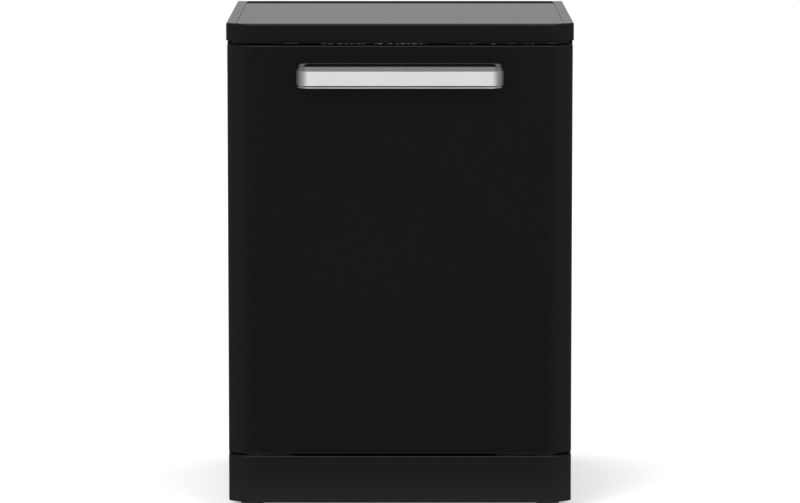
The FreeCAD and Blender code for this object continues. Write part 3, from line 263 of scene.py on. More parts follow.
def wire(bm, points, radius, bend=0.0, sides=8, closed=False, material=0):
    """Round wire along straight runs, with a bend of one radius at each corner between them."""
    path = [Vector(p) for p in points]
    way = (path[1] - path[0]).normalized()
    start = Matrix.Translation(path[0]) @ way.to_track_quat("Z", "Y").to_matrix().to_4x4()
    ring = bmesh.ops.create_circle(bm, cap_ends=False, segments=sides, radius=radius, matrix=start)["verts"]
    first = list({edge for vert in ring for edge in vert.link_edges})
    every = set(ring)
    edges = first
    here = path[0]
    for index in range(1, len(path)):
        target = path[index]
        turn = 0.0
        if index < len(path) - 1:
            after = (path[index + 1] - path[index]).normalized()
            turn = way.angle(after)
            target = target - way * (bend * math.tan(turn / 2))
        grown = bmesh.ops.extrude_edge_only(bm, edges=edges)["geom"]
        verts = [g for g in grown if isinstance(g, bmesh.types.BMVert)]
        bmesh.ops.translate(bm, vec=target - here, verts=verts)
        edges = [g for g in grown if isinstance(g, bmesh.types.BMEdge) and all(v in verts for v in g.verts)]
        every.update(verts)
        here = target
        if turn > 0.01:
            axis = way.cross(after).normalized()
            inside = axis.cross(way)
            spun = bmesh.ops.spin(bm, geom=edges, cent=here + inside * bend, axis=axis, dvec=(0, 0, 0),
                                  angle=turn, steps=4, use_duplicate=False)["geom_last"]
            edges = [g for g in spun if isinstance(g, bmesh.types.BMEdge)]
            here = path[index] + after * (bend * math.tan(turn / 2))
            every.update(v for e in edges for v in e.verts)
            way = after
    if closed:
        bmesh.ops.remove_doubles(bm, verts=list({v for e in first + edges for v in e.verts}),
                                 dist=radius * 0.2)
    else:
        bmesh.ops.edgeloop_fill(bm, edges=first)
        bmesh.ops.edgeloop_fill(bm, edges=edges)


def loop_points(x0, x1, y0, y1, z):
    """Corners of a level rectangle, starting in the middle of its front."""
    middle = (x0 + x1) / 2
    return [(middle, y0, z), (x1, y0, z), (x1, y1, z), (x0, y1, z), (x0, y0, z), (middle, y0, z)]


def front_prism(bm, half, front, back, low, high):
    """Upright prism with the flat front and the two curved sides of the door's plan."""
    start = half - FRONT_RUN
    middle_y = front + FRONT_RADIUS
    side_y = middle_y - FRONT_RADIUS * math.cos(FRONT_TURN)
    first = bm.verts.new((-half, back, low))

    def step(vert, target):
        new = bmesh.ops.extrude_vert_indiv(bm, verts=[vert])["verts"][0]
        new.co = target
        return new

    def curve(vert, centre_x):
        spun = bmesh.ops.spin(bm, geom=[vert], cent=(centre_x, middle_y, low), axis=(0, 0, 1), dvec=(0, 0, 0),
                              angle=FRONT_TURN, steps=ARC_STEPS, use_duplicate=False)["geom_last"]
        return [g for g in spun if isinstance(g, bmesh.types.BMVert)][0]

    vert = step(first, (-half, side_y, low))
    vert = curve(vert, -start)
    vert = step(vert, (start, front, low))
    vert = curve(vert, start)
    vert = step(vert, (half, back, low))
    bm.edges.new((vert, first))
    base = bmesh.ops.contextual_create(bm, geom=list(bm.edges))["faces"]
    top = bmesh.ops.extrude_face_region(bm, geom=base)["geom"]
    lifted = [g for g in top if isinstance(g, bmesh.types.BMVert)]
    bmesh.ops.translate(bm, vec=(0, 0, high - low), verts=lifted)
    return side_y


def soften_prism(bm, half, side_y, back, side_radius, rims):
    """Rounds the two upright side edges, then the front edges at the given heights, each with its radius."""
    upright = [e for e in bm.edges
               if all(abs(abs(v.co.x) - half) < 1e-5 and abs(v.co.y - side_y) < 1e-5 for v in e.verts)]
    round_edges(bm, upright, side_radius, 5)
    for height, rim_radius in rims.items():
        rim = [e for e in bm.edges if all(abs(v.co.z - height) < 1e-6 for v in e.verts)
               and not all(abs(v.co.y - back) < 1e-6 for v in e.verts)]
        round_edges(bm, rim, rim_radius, 4)


def lathe(bm, profile, place, steps=32, material=0):
    """Turns a chain of (radius, height) points about the local Z axis, which place puts in the frame."""
    chain = [bm.verts.new(place @ Vector((r, 0, h))) for r, h in profile]
    edges = [bm.edges.new(pair) for pair in zip(chain, chain[1:])]
    before = set(bm.faces)
    centre = place.translation
    axis = (place.to_3x3() @ Vector((0, 0, 1))).normalized()
    bmesh.ops.spin(bm, geom=chain + edges, cent=centre, axis=axis, dvec=(0, 0, 0), angle=2 * math.pi,
                   steps=steps, use_merge=True, use_duplicate=False)
    faces = [f for f in bm.faces if f not in before]
    verts = list({v for f in faces for v in f.verts} | set(chain))
    poles = [v for v in verts if (place.inverted() @ v.co).xy.length < 1e-6]
    bmesh.ops.remove_doubles(bm, verts=poles, dist=1e-6)
    for face in faces:
        if face.is_valid:
            face.material_index = material


FACE_BACK = Matrix.Rotation(-math.pi / 2, 4, "X")      # local Z points to +Y
FACE_RIGHT = Matrix.Rotation(math.pi / 2, 4, "Y")      # local Z points to +X


def curved_shell(bm, half, front, back, low, high, rims, flange, flange_half):
    """Sheet with the curved front: front, side returns and level flanges that stop at flange depth."""
    side_y = front_prism(bm, half, front, back, low, high)
    soften_prism(bm, half, side_y, back, SIDE_ROUND, rims)
    bm.normal_update()
    rear = [f for f in bm.faces if abs(f.calc_center_median().y - back) < 1e-6]
    bmesh.ops.delete(bm, geom=rear, context="FACES")
    cut_all(bm, (0, flange, 0), (0, 1, 0))
    for side in (-1, 1):
        cut_all(bm, (side * flange_half, 0, 0), (1, 0, 0))
    open_way = [f for f in bm.faces if f.calc_center_median().y > flange
                and abs(f.calc_center_median().x) < flange_half]
    bmesh.ops.delete(bm, geom=open_way, context="FACES")


# ---------------------------------------------------------------- door

def row(node):
    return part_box(node)


DOOR_LOW, DOOR_HIGH = row("door_front_panel")
FRONT_Y = DOOR_LOW.y
DOOR_HALF = DOOR_HIGH.x
DOOR_FLANGE = FRONT_Y + 20 * MM


def build_door_skin():
    bm = bmesh.new()
    curved_shell(bm, DOOR_HALF, FRONT_Y, DOOR_HIGH.y, DOOR_LOW.z, DOOR_HIGH.z,
                 {DOOR_LOW.z: RIM_ROUND, DOOR_HIGH.z: TIGHT_FOLD}, DOOR_FLANGE, DOOR_HALF - 8 * MM)
    arm_way = row("hinge_arms")[1].x - 7 * MM
    notch_front = FRONT_Y + 3.2 * MM

    def under():
        return [f for f in bm.faces if abs(f.calc_center_median().z - DOOR_LOW.z) < 1e-6]

    for place, way in (((-arm_way, 0, 0), (1, 0, 0)), ((arm_way, 0, 0), (1, 0, 0)),
                       ((0, notch_front, 0), (0, 1, 0))):
        strip = under()
        strip += list({e for f in strip for e in f.edges}) + list({v for f in strip for v in f.verts})
        bmesh.ops.bisect_plane(bm, geom=strip, plane_co=place, plane_no=way)
    notches = [f for f in under()
               if abs(f.calc_center_median().x) > arm_way and f.calc_center_median().y > notch_front]
    bmesh.ops.delete(bm, geom=notches, context="FACES")
    # The lower rear corner is cut back on a slope.
    corner = Vector((0, FRONT_Y + 32 * MM, DOOR_LOW.z))
    cut_all(bm, corner, (0, 14, -11), clear_outer=True)
    piece("door_skin", bm, [BLACK_ENAMEL], "door", ["door_front_panel"], wall=1.4 * MM)


def build_handle():
    """Bow of one extruded section: satin face, polished bevels above and below it, and a lower lip."""
    low, high = row("handle_ends")
    bend = 22 * MM
    thick = 13 * MM
    half = high.x
    bm = bmesh.new()
    front = low.y
    # (how far out from the inner face, height) around the section, in millimetres
    section = [(0, 0.8), (0.8, 0), (11.7, 0), (12.2, 0.6), (12.2, 2.5), (12.8, 4.4), (13, 4.8), (13, 29.2),
               (12.8, 29.6), (9.6, 35.8), (8.8, 36.8), (7.8, 37.2), (0.8, 37.2), (0, 36.4)]
    ring = [bm.verts.new((-half + thick - out * MM, high.y, low.z + up * MM)) for out, up in section]
    edges = [bm.edges.new((ring[i - 1], ring[i])) for i in range(len(ring))]
    bm.faces.new(ring)

    def run(edges, offset):
        grown = bmesh.ops.extrude_edge_only(bm, edges=edges)["geom"]
        verts = [g for g in grown if isinstance(g, bmesh.types.BMVert)]
        bmesh.ops.translate(bm, vec=offset, verts=verts)
        return [g for g in grown if isinstance(g, bmesh.types.BMEdge) and all(v in verts for v in g.verts)]

    def bow(edges, x):
        spun = bmesh.ops.spin(bm, geom=edges, cent=(x, front + bend, 0), axis=(0, 0, 1), dvec=(0, 0, 0),
                              angle=math.pi / 2, steps=14, use_duplicate=False)["geom_last"]
        return [g for g in spun if isinstance(g, bmesh.types.BMEdge)]

    stand = (high.y - front) - bend
    edges = run(edges, (0, -stand, 0))
    edges = bow(edges, -half + bend)
    for share in range(6):
        edges = run(edges, ((2 * half - 2 * bend) / 6, 0, 0))
    edges = bow(edges, half - bend)
    edges = run(edges, (0, stand, 0))
    bmesh.ops.contextual_create(bm, geom=edges)
    for vert in bm.verts:
        # The arms get lower towards the door.
        behind = (vert.co.y - front - thick) / (high.y - front - thick)
        if vert.co.z > low.z + 20 * MM and behind > 0:
            vert.co.z -= 3.5 * MM * behind
    bm.normal_update()
    bmesh.ops.recalc_face_normals(bm, faces=bm.faces)
    for face in bm.faces:
        face.material_index = 1 if abs(face.normal.z) > 0.2 else 0
    piece("bow_handle", bm, [SATIN_ALUMINIUM, POLISHED_ALUMINIUM], "door", ["handle_bar", "handle_ends"],
          sharp=18)


def build_liner():
    low, high = row("door_liner")
    bm = bmesh.new()
    slab(bm, (low.x, low.y, low.z), (high.x, high.y, high.z), bevel=5 * MM, segments=4)
    # Two pressed fields: one above and one below the dispenser.
    field_half = 225 * MM
    fields = ((190 * MM, 300 * MM), (505 * MM, 735 * MM))
    for x in (-field_half, field_half):
        cut_all(bm, (x, 0, 0), (1, 0, 0))
    for z in [z for pair in fields for z in pair]:
        cut_all(bm, (0, 0, z), (0, 0, 1))
    bm.normal_update()
    for z0, z1 in fields:
        field = [f for f in bm.faces if f.normal.y > 0.99 and abs(f.calc_center_median().y - high.y) < 1e-5
                 and abs(f.calc_center_median().x) < field_half and z0 < f.calc_center_median().z < z1]
        bmesh.ops.inset_region(bm, faces=field, thickness=7 * MM, depth=-2.5 * MM, use_even_offset=True)
        rim = {e for f in field for e in f.edges if not all(g in field for g in e.link_faces)}
        round_edges(bm, list(rim), 2.5 * MM, 3)
        bm.normal_update()
    piece("door_inner_sheet", bm, [LINER_STEEL], "door", ["door_liner"])


def build_fascia_marks():
    """Printed marks, lamps and key caps on the top edge of the door."""
    top = row("control_fascia")[1].z
    bm = bmesh.new()
    lamps = bmesh.new()
    y_front = FRONT_Y + 45 * MM
    y_back = FRONT_Y + 51.5 * MM
    for x0, x1 in ((-134, -129), (-123, -117), (-107, -100), (-95, -91), (-86, -81), (-74, -68), (97, 105),
                   (117, 126), (158, 165), (250, 255), (259, 265), (268, 274)):
        slab(bm, (x0 * MM, y_front, top), (x1 * MM, y_back, top + 0.06 * MM))
    for x in (-62, 217, 229):
        slab(lamps, ((x - 1.6) * MM, y_front + 1 * MM, top),
             ((x + 1.6) * MM, y_back - 1 * MM, top + 0.1 * MM))
    # The printed marks glow a little: painted light standing in for light that the shaded gap under the
    # worktop does not get.
    piece("fascia_printed_marks", bm, [PRINTED_INK_WITH_PAINTED_GLOW], "door", (), weighted=False)
    piece("fascia_lamps", lamps, [LAMP_LENS], "door", (), weighted=False)
    glass_top = row("display_window")[1].z
    bm = bmesh.new()
    digits = ((-43, -40), (-37, -31), (-19, -14), (-6, -3), (2, 8), (13, 16), (22, 28), (35, 38))
    for x0, x1 in digits:
        slab(bm, (x0 * MM, y_front, glass_top), (x1 * MM, y_back, glass_top + 0.05 * MM))
    piece("display_segments", bm, [LAMP_LENS], "door", (), weighted=False)
    for name in ("power", "start", "option", "program"):
        node = "button_" + name
        a, b = row(node)
        bm = bmesh.new()
        slab(bm, a, b, bevel=0.6 * MM, segments=3)
        middle = (a.x + b.x) / 2
        width = (b.x - a.x) * 0.3
        slab(bm, (middle - width, y_front + 2 * MM, b.z),
             (middle + width, y_back - 2.5 * MM, b.z + 0.05 * MM), material=1)
        # The key symbols use the same ink, with its painted glow.
        piece("key_cap_" + name, bm, [BLACK_PP, PRINTED_INK_WITH_PAINTED_GLOW], name + "_button", [node])


def build_dispenser():
    a, b = row("dispenser_lid")
    bm = bmesh.new()
    slab(bm, (a.x, a.y, a.z), (b.x, a.y + 3 * MM, b.z), bevel=1.2 * MM, segments=3)
    slab(bm, (a.x + 18 * MM, a.y + 2.8 * MM, b.z - 8 * MM), (b.x - 18 * MM, b.y, b.z - 4 * MM),
         bevel=0.8 * MM)
    piece("detergent_lid", bm, [GREY_PP], "dispenser_lid", ["dispenser_lid"])
    a, b = row("rinse_aid_cap")
    centre = Vector(((a.x + b.x) / 2, 0, (a.z + b.z) / 2))
    face = FRONT_Y + 66.4 * MM
    bm = bmesh.new()
    place = Matrix.Translation((centre.x, face, centre.z)) @ FACE_BACK
    lathe(bm, [(0, -0.014), (0.0155, -0.014), (0.0155, 0.0), (0.0205, 0.0), (0.021, 0.0006), (0.021, 0.0032),
               (0.0202, 0.004), (0.0172, 0.004), (0.0165, 0.0034), (0, 0.0034)], place, 48)
    slab(bm, (centre.x - 15 * MM, face + 3.2 * MM, centre.z - 2.5 * MM),
         (centre.x + 15 * MM, face + 6.6 * MM, centre.z + 2.5 * MM), bevel=1 * MM)
    piece("rinse_aid_screw_cap", bm, [BLUE_PP], "rinse_aid_cap", ["rinse_aid_cap"])
    a, b = row("dispenser_body")
    bm = bmesh.new()
    wire(bm, [(0, b.y, a.z + 3 * MM), (b.x - 3 * MM, b.y, a.z + 3 * MM), (b.x - 3 * MM, b.y, b.z - 3 * MM),
              (a.x + 3 * MM, b.y, b.z - 3 * MM), (a.x + 3 * MM, b.y, a.z + 3 * MM), (0, b.y, a.z + 3 * MM)],
         1.2 * MM, bend=8 * MM, closed=True)
    piece("dispenser_rim_bead", bm, [GREY_PP], "door", ())


# ---------------------------------------------------------------- worktop and plinth

TOP_LOW, TOP_HIGH = row("worktop_panel")
TRIM_LOW, TRIM_HIGH = row("worktop_side_trims")
STRIP_LOW, STRIP_HIGH = row("worktop_rear_strip")


def worktop_slice(bm, back, left, right):
    """Part of the worktop between two upright cuts."""
    part = bmesh.new()
    side_y = front_prism(part, TRIM_HIGH.x, TRIM_LOW.y, back, TRIM_LOW.z, TRIM_HIGH.z)
    soften_prism(part, TRIM_HIGH.x, side_y, back, SIDE_ROUND, {TRIM_HIGH.z: RIM_ROUND})
    for x, way in ((left, -1), (right, 1)):
        if abs(x) < TRIM_HIGH.x:
            cut = cut_all(part, (x, 0, 0), (way, 0, 0), clear_outer=True)
            rim = [g for g in cut["geom_cut"] if isinstance(g, bmesh.types.BMEdge)]
            filled = bmesh.ops.contextual_create(part, geom=rim)["faces"]
            edge = [e for f in filled for e in f.edges
                    if all(abs(v.co.z - TRIM_HIGH.z) < 1e-6 for v in e.verts)]
            if edge:
                round_edges(part, edge, 0.4 * MM, 2)
    mesh = bpy.data.meshes.new("slice")
    part.to_mesh(mesh)
    part.free()
    bm.from_mesh(mesh)
    bpy.data.meshes.remove(mesh)


def build_worktop():
    bm = bmesh.new()
    worktop_slice(bm, TOP_HIGH.y, TOP_LOW.x, TOP_HIGH.x)
    piece("worktop_board", bm, [BLACK_LAMINATE], "cabinet", ["worktop_panel"])
    bm = bmesh.new()
    inner = TOP_HIGH.x + 0.5 * MM
    worktop_slice(bm, TRIM_HIGH.y, -1.0, -inner)
    worktop_slice(bm, TRIM_HIGH.y, inner, 1.0)
    piece("worktop_edge_trims", bm, [BLACK_LAMINATE], "cabinet", ["worktop_side_trims"])
    bm = bmesh.new()
    slab(bm, STRIP_LOW, STRIP_HIGH, bevel=0.5 * MM, segments=3)
    piece("worktop_rear_profile", bm, [REAR_ABS], "cabinet", ["worktop_rear_strip"])


def build_plinth():
    a, b = row("plinth")
    bm = bmesh.new()
    curved_shell(bm, b.x, a.y, b.y, a.z, b.z, {b.z: TIGHT_FOLD}, FRONT_Y + 36 * MM, b.x - 2 * MM)
    under = [f for f in bm.faces if abs(f.calc_center_median().z - a.z) < 1e-6]
    bmesh.ops.delete(bm, geom=under, context="FACES")
    piece("plinth_cover", bm, [BLACK_ABS], "cabinet", ["plinth"], wall=1.9 * MM)


# ---------------------------------------------------------------- tub

def build_tub():
    a, b = row("tub_wrapper")
    back = row("tub_rear_wall")[0].y
    bm = bmesh.new()
    slab(bm, (a.x + 1.5 * MM, a.y - 10 * MM, a.z - 30 * MM), (b.x - 1.5 * MM, back, b.z - 1.5 * MM))
    upper = [e for e in bm.edges if all(v.co.z > b.z - 3 * MM for v in e.verts) and abs(e.verts[0].co.x -
             e.verts[1].co.x) < 1e-6]
    round_edges(bm, upper, 18 * MM, 6)
    rear = [e for e in bm.edges if all(abs(v.co.y - back) < 1e-6 for v in e.verts)]
    round_edges(bm, rear, 10 * MM, 4)
    for plane, way in (((0, a.y, 0), (0, -1, 0)), ((0, 0, a.z + 0.5 * MM), (0, 0, -1))):
        cut_all(bm, plane, way, clear_outer=True)
    # Two pressed fields in the rear wall, one each side of the feed tube.
    fields = ((-200 * MM, -40 * MM), (40 * MM, 200 * MM))
    levels = (260 * MM, 700 * MM)
    for x in [x for pair in fields for x in pair]:
        cut_all(bm, (x, 0, 0), (1, 0, 0))
    for z in levels:
        cut_all(bm, (0, 0, z), (0, 0, 1))
    bm.normal_update()
    for x0, x1 in fields:
        field = [f for f in bm.faces if abs(f.calc_center_median().y - back) < 1e-5
                 and x0 < f.calc_center_median().x < x1 and levels[0] < f.calc_center_median().z < levels[1]]
        bmesh.ops.inset_region(bm, faces=field, thickness=8 * MM, depth=0.0, use_even_offset=True)
        bmesh.ops.translate(bm, vec=(0, -3 * MM, 0), verts=list({v for f in field for v in f.verts}))
        rim = {e for f in field for e in f.edges if not all(g in field for g in e.link_faces)}
        round_edges(bm, list(rim), 3 * MM, 3)
    piece("tub_shell", bm, [TUB_STEEL], "cabinet", ["tub_wrapper", "tub_rear_wall"],
          wall=1.2 * MM, outward=True)


def build_gasket():
    a, b = row("tub_gasket")
    bm = bmesh.new()
    inset = 5 * MM
    y = (a.y + b.y) / 2 - 0.1 * MM
    corners = [(0, y, a.z + inset), (b.x - inset, y, a.z + inset), (b.x - inset, y, b.z - inset),
               (a.x + inset, y, b.z - inset), (a.x + inset, y, a.z + inset), (0, y, a.z + inset)]
    wire(bm, corners, 1.75 * MM, bend=14 * MM, sides=12, closed=True)
    piece("door_seal_bulb", bm, [SEAL_RUBBER], "cabinet", ())


# ---------------------------------------------------------------- baskets

WIRE_THIN = 1.5 * MM
WIRE_THICK = 2.3 * MM
WIRE_STEP = 30 * MM


def wire_basket(half, front, back, floor, height, step):
    """Round coated wire: rims as closed loops, and U wires both ways through the floor."""
    bm = bmesh.new()
    for level, radius in ((floor + height - WIRE_THICK, WIRE_THICK), (floor + height * 0.55, WIRE_THIN),
                          (floor + 16 * MM, WIRE_THIN)):
        wire(bm, loop_points(-half + radius, half - radius, front + radius, back - radius, level), radius,
             bend=14 * MM, closed=True)
    rim = floor + height - WIRE_THICK
    inner = half - WIRE_THICK - WIRE_THIN
    count = round((back - front - 50 * MM) / step)
    for index in range(count + 1):
        y = front + 25 * MM + (back - front - 50 * MM) * index / count
        wire(bm, [(-inner, y, rim), (-inner, y, floor + WIRE_THIN), (inner, y, floor + WIRE_THIN),
                  (inner, y, rim)],
             WIRE_THIN, bend=12 * MM)
    count = round((2 * half - 50 * MM) / step)
    near = front + WIRE_THICK + WIRE_THIN
    far = back - WIRE_THICK - WIRE_THIN
    lift = floor + 3 * WIRE_THIN
    for index in range(count + 1):
        x = -half + 25 * MM + (2 * half - 50 * MM) * index / count
        wire(bm, [(x, near, rim), (x, near, lift), (x, far, lift), (x, far, rim)], WIRE_THIN, bend=12 * MM)
    slab(bm, (-60 * MM, front - 2 * MM, rim - 12 * MM), (60 * MM, front + 5 * MM, rim + 2.3 * MM),
         bevel=2 * MM, material=1)
    return bm


def build_baskets():
    half = 252 * MM
    front = FRONT_Y + 88 * MM
    back = row("upper_basket_frame")[1].y
    bm = wire_basket(half, front, back, 478 * MM, 118 * MM, WIRE_STEP)
    for side in (-1, 1):
        x0, x1 = sorted((side * half, side * (half + 6 * MM)))
        slab(bm, (x0, front + 6 * MM, 511 * MM), (x1, back - 6 * MM, 529 * MM), bevel=1.5 * MM, material=1)
    lathe(bm, [(0, 0), (14 * MM, 0), (14 * MM, 11 * MM), (22 * MM, 12 * MM), (22 * MM, 14 * MM),
               (0, 14 * MM)],
          Matrix.Translation((0, (front - 4 * MM + back) / 2, 465 * MM)), 32, material=1)
    piece("upper_wire_basket", bm, [COATED_WIRE, GREY_PP], "upper_basket", ["upper_basket_frame"])
    half = 248 * MM
    front = FRONT_Y + 84 * MM
    bm = wire_basket(half, front, row("lower_basket_frame")[1].y, 200.5 * MM, 108 * MM, WIRE_STEP)
    for node in ("lower_wheels_front", "lower_wheels_rear"):
        wl, wh = row(node)
        y = (wl.y + wh.y) / 2
        z = (wl.z + wh.z) / 2
        for side in (-1, 1):
            x0, x1 = sorted((side * (half - 8 * MM), side * (half - 1 * MM)))
            slab(bm, (x0, y - 9 * MM, z - 6 * MM), (x1, y + 9 * MM, z + 12 * MM), bevel=1.5 * MM, material=1)
            place = Matrix.Translation((side * (half - 4 * MM), y, z)) @ FACE_RIGHT
            length = side * 14.5 * MM
            lathe(bm, [(0, 0), (3.9 * MM, 0), (3.9 * MM, length), (0, length)], place, 20, material=1)
        wheels = bmesh.new()
        for side in (-1, 1):
            place = Matrix.Translation((side * (half + 1 * MM), y, z)) @ FACE_RIGHT
            w = side * MM
            lathe(wheels, [(4.1 * MM, 0), (6 * MM, 0), (6.4 * MM, 2 * w), (14 * MM, 2 * w), (14.4 * MM, 0),
                           (16.2 * MM, 0), (17 * MM, 0.8 * w), (17 * MM, 8.2 * w), (16.2 * MM, 9 * w),
                           (14.4 * MM, 9 * w), (14 * MM, 7 * w), (6.4 * MM, 7 * w),
                           (6 * MM, 9 * w), (4.1 * MM, 9 * w), (4.1 * MM, 0)], place, 40)
        piece(node + "_turned", wheels, [GREY_PP], node, [node])
    piece("lower_wire_basket", bm, [COATED_WIRE, GREY_PP], "lower_basket", ["lower_basket_frame"])


def build_shelves():
    for side, name in ((-1, "left"), (1, "right")):
        a, b = row("cup_shelf_" + name)
        x = (a.x + b.x) / 2
        r = 1.9 * MM
        bm = bmesh.new()
        middle = (a.y + b.y) / 2
        wire(bm, [(x, middle, a.z + r), (x, b.y - r, a.z + r), (x, b.y - r, b.z - r), (x, a.y + r, b.z - r),
                  (x, a.y + r, a.z + r), (x, middle, a.z + r)], r, bend=14 * MM, closed=True)
        count = 12
        for index in range(count):
            y = a.y + 20 * MM + (b.y - a.y - 40 * MM) * index / (count - 1)
            wire(bm, [(x, y, a.z + r), (x, y, b.z - r)], 1.4 * MM)
        for z in (a.z + 26 * MM, a.z + 52 * MM):
            wire(bm, [(x, a.y + r, z), (x, b.y - r, z)], 1.4 * MM)
        piece("cup_rack_" + name, bm, [COATED_WIRE], "cup_shelf_" + name, ["cup_shelf_" + name])


def build_tines():
    for name in ("tine_rack_centre", "tine_rack_right"):
        a, b = row(name)
        x = (a.x + b.x) / 2
        z = a.z + 2 * MM
        bm = bmesh.new()
        wire(bm, [(x, a.y, z), (x, b.y, z)], 2 * MM, sides=10)
        count = 9
        step = (b.y - a.y - 20 * MM) / (count - 1)
        for index in range(count):
            y = a.y + 10 * MM + step * index
            place = Matrix.Translation((x, y, z))
            top = b.z - z
            r = 1.7 * MM
            lathe(bm, [(0, 0), (r, 0), (r, top - 1.6 * MM), (1.4 * MM, top - 0.6 * MM),
                       (0.8 * MM, top - 0.1 * MM), (0, top)], place, 10)
            if index < count - 1:
                place = Matrix.Translation((x, y + step / 2, z))
                lathe(bm, [(0, 0), (r, 0), (r, top - 9.6 * MM), (1.4 * MM, top - 8.6 * MM),
                           (0.8 * MM, top - 8.1 * MM), (0, top - 8 * MM)], place, 10)
        piece(name + "_wires", bm, [COATED_WIRE], name, [name])


def build_cutlery_basket():
    a, b = row("cutlery_basket")
    rim = 327 * MM
    t = 2.4 * MM
    bm = bmesh.new()
    for z0, z1 in ((a.z, a.z + 8 * MM), (rim - 7 * MM, rim), (a.z + 55 * MM, a.z + 60 * MM)):
        slab(bm, (a.x, a.y, z0), (b.x, a.y + t, z1), bevel=0.6 * MM)
        slab(bm, (a.x, b.y - t, z0), (b.x, b.y, z1), bevel=0.6 * MM)
        slab(bm, (a.x, a.y + t, z0), (a.x + t, b.y - t, z1), bevel=0.6 * MM)
        slab(bm, (b.x - t, a.y + t, z0), (b.x, b.y - t, z1), bevel=0.6 * MM)
    low = a.z + 7 * MM
    high = rim - 6 * MM
    for index in range(9):
        x = a.x + (b.x - a.x - t) * index / 8
        slab(bm, (x, a.y + 0.3 * MM, low), (x + t, a.y + t - 0.3 * MM, high))
        slab(bm, (x, b.y - t + 0.3 * MM, low), (x + t, b.y - 0.3 * MM, high))
        slab(bm, (x, a.y + t, a.z), (x + t, b.y - t, a.z + 2.4 * MM))
    for index in range(23):
        y = a.y + (b.y - a.y - t) * index / 22
        slab(bm, (a.x + 0.3 * MM, y, low), (a.x + t - 0.3 * MM, y + t, high))
        slab(bm, (b.x - t + 0.3 * MM, y, low), (b.x - 0.3 * MM, y + t, high))
        slab(bm, (a.x + t, y, a.z + 0.2 * MM), (b.x - t, y + t, a.z + 2.2 * MM))
    middle = (a.y + b.y) / 2
    slab(bm, (a.x + t, middle - t / 2, a.z + 2 * MM), (b.x - t, middle + t / 2, rim - 30 * MM))
    for x0, x1, z0, z1 in ((a.x + t, a.x + 14 * MM, rim - 30 * MM, b.z - 3 * MM),
                           (b.x - 14 * MM, b.x - t, rim - 30 * MM, b.z - 3 * MM),
                           (a.x + t, b.x - t, b.z - 12 * MM, b.z)):
        slab(bm, (x0, middle - 2 * MM, z0), (x1, middle + 2 * MM, z1), bevel=1 * MM)
    piece("cutlery_holder", bm, [GREY_PP], "cutlery_basket", ["cutlery_basket"])


def build_arms():
    """Hollow blow-moulded arms: widest at the hub, thinner and rounded towards the tips."""
    for name in ("upper", "lower"):
        node = name + "_spray_arm"
        a, b = row(node)
        centre = (a + b) / 2
        bm = bmesh.new()
        slab(bm, (a.x, -0.5, -0.5), (b.x, 0.5, 0.5))
        long_edges = [e for e in bm.edges if abs(e.verts[0].co.x - e.verts[1].co.x) > 0.1]
        bmesh.ops.subdivide_edges(bm, edges=long_edges, cuts=31, use_grid_fill=True)
        round_edges(bm, [e for e in bm.edges if abs(e.verts[0].co.x - e.verts[1].co.x) > 1e-4], 0.22, 4)
        reach = b.x
        hub = 30 * MM
        for vert in bm.verts:
            along = abs(vert.co.x)
            tip = max(0.0, (along - (reach - 14 * MM)) / (14 * MM))
            round_tip = math.sqrt(max(0.0, 1 - tip ** 2)) * 0.94 + 0.06
            width = (42 - 12 * along / reach) * MM * round_tip
            if along < hub:
                width = max(width, 2 * math.sqrt(hub ** 2 - along ** 2))
            vert.co.y = centre.y + vert.co.y * width
            vert.co.z = centre.z + vert.co.z * (12 - 3.5 * along / reach) * MM * (0.55 + 0.45 * round_tip)
        top = centre.z
        for side in (-1, 1):
            for share in (0.32, 0.5, 0.66, 0.82, 0.94):
                x = side * reach * share
                y = centre.y + side * (5 if share not in (0.5, 0.82) else -6) * MM
                rise = (6 - 1.75 * share) * MM
                place = Matrix.Translation((x, y, top + rise - 0.8 * MM))
                lathe(bm, [(0, 0), (3.4 * MM, 0), (3.1 * MM, 1.1 * MM), (1.4 * MM, 1.3 * MM),
                           (1.1 * MM, 0.4 * MM), (0, 0.4 * MM)], place, 20)
        place = Matrix.Translation((centre.x, centre.y, b.z - 1 * MM))
        lathe(bm, [(0, 0), (19 * MM, 0), (18 * MM, 1 * MM), (7 * MM, 1.2 * MM), (6 * MM, 0.4 * MM),
                   (0, 0.4 * MM)],
              place, 40)
        piece(name + "_rotor", bm, [GREY_PP], name + "_arm", [node], sharp=40)


# ---------------------------------------------------------------- base, back and small parts

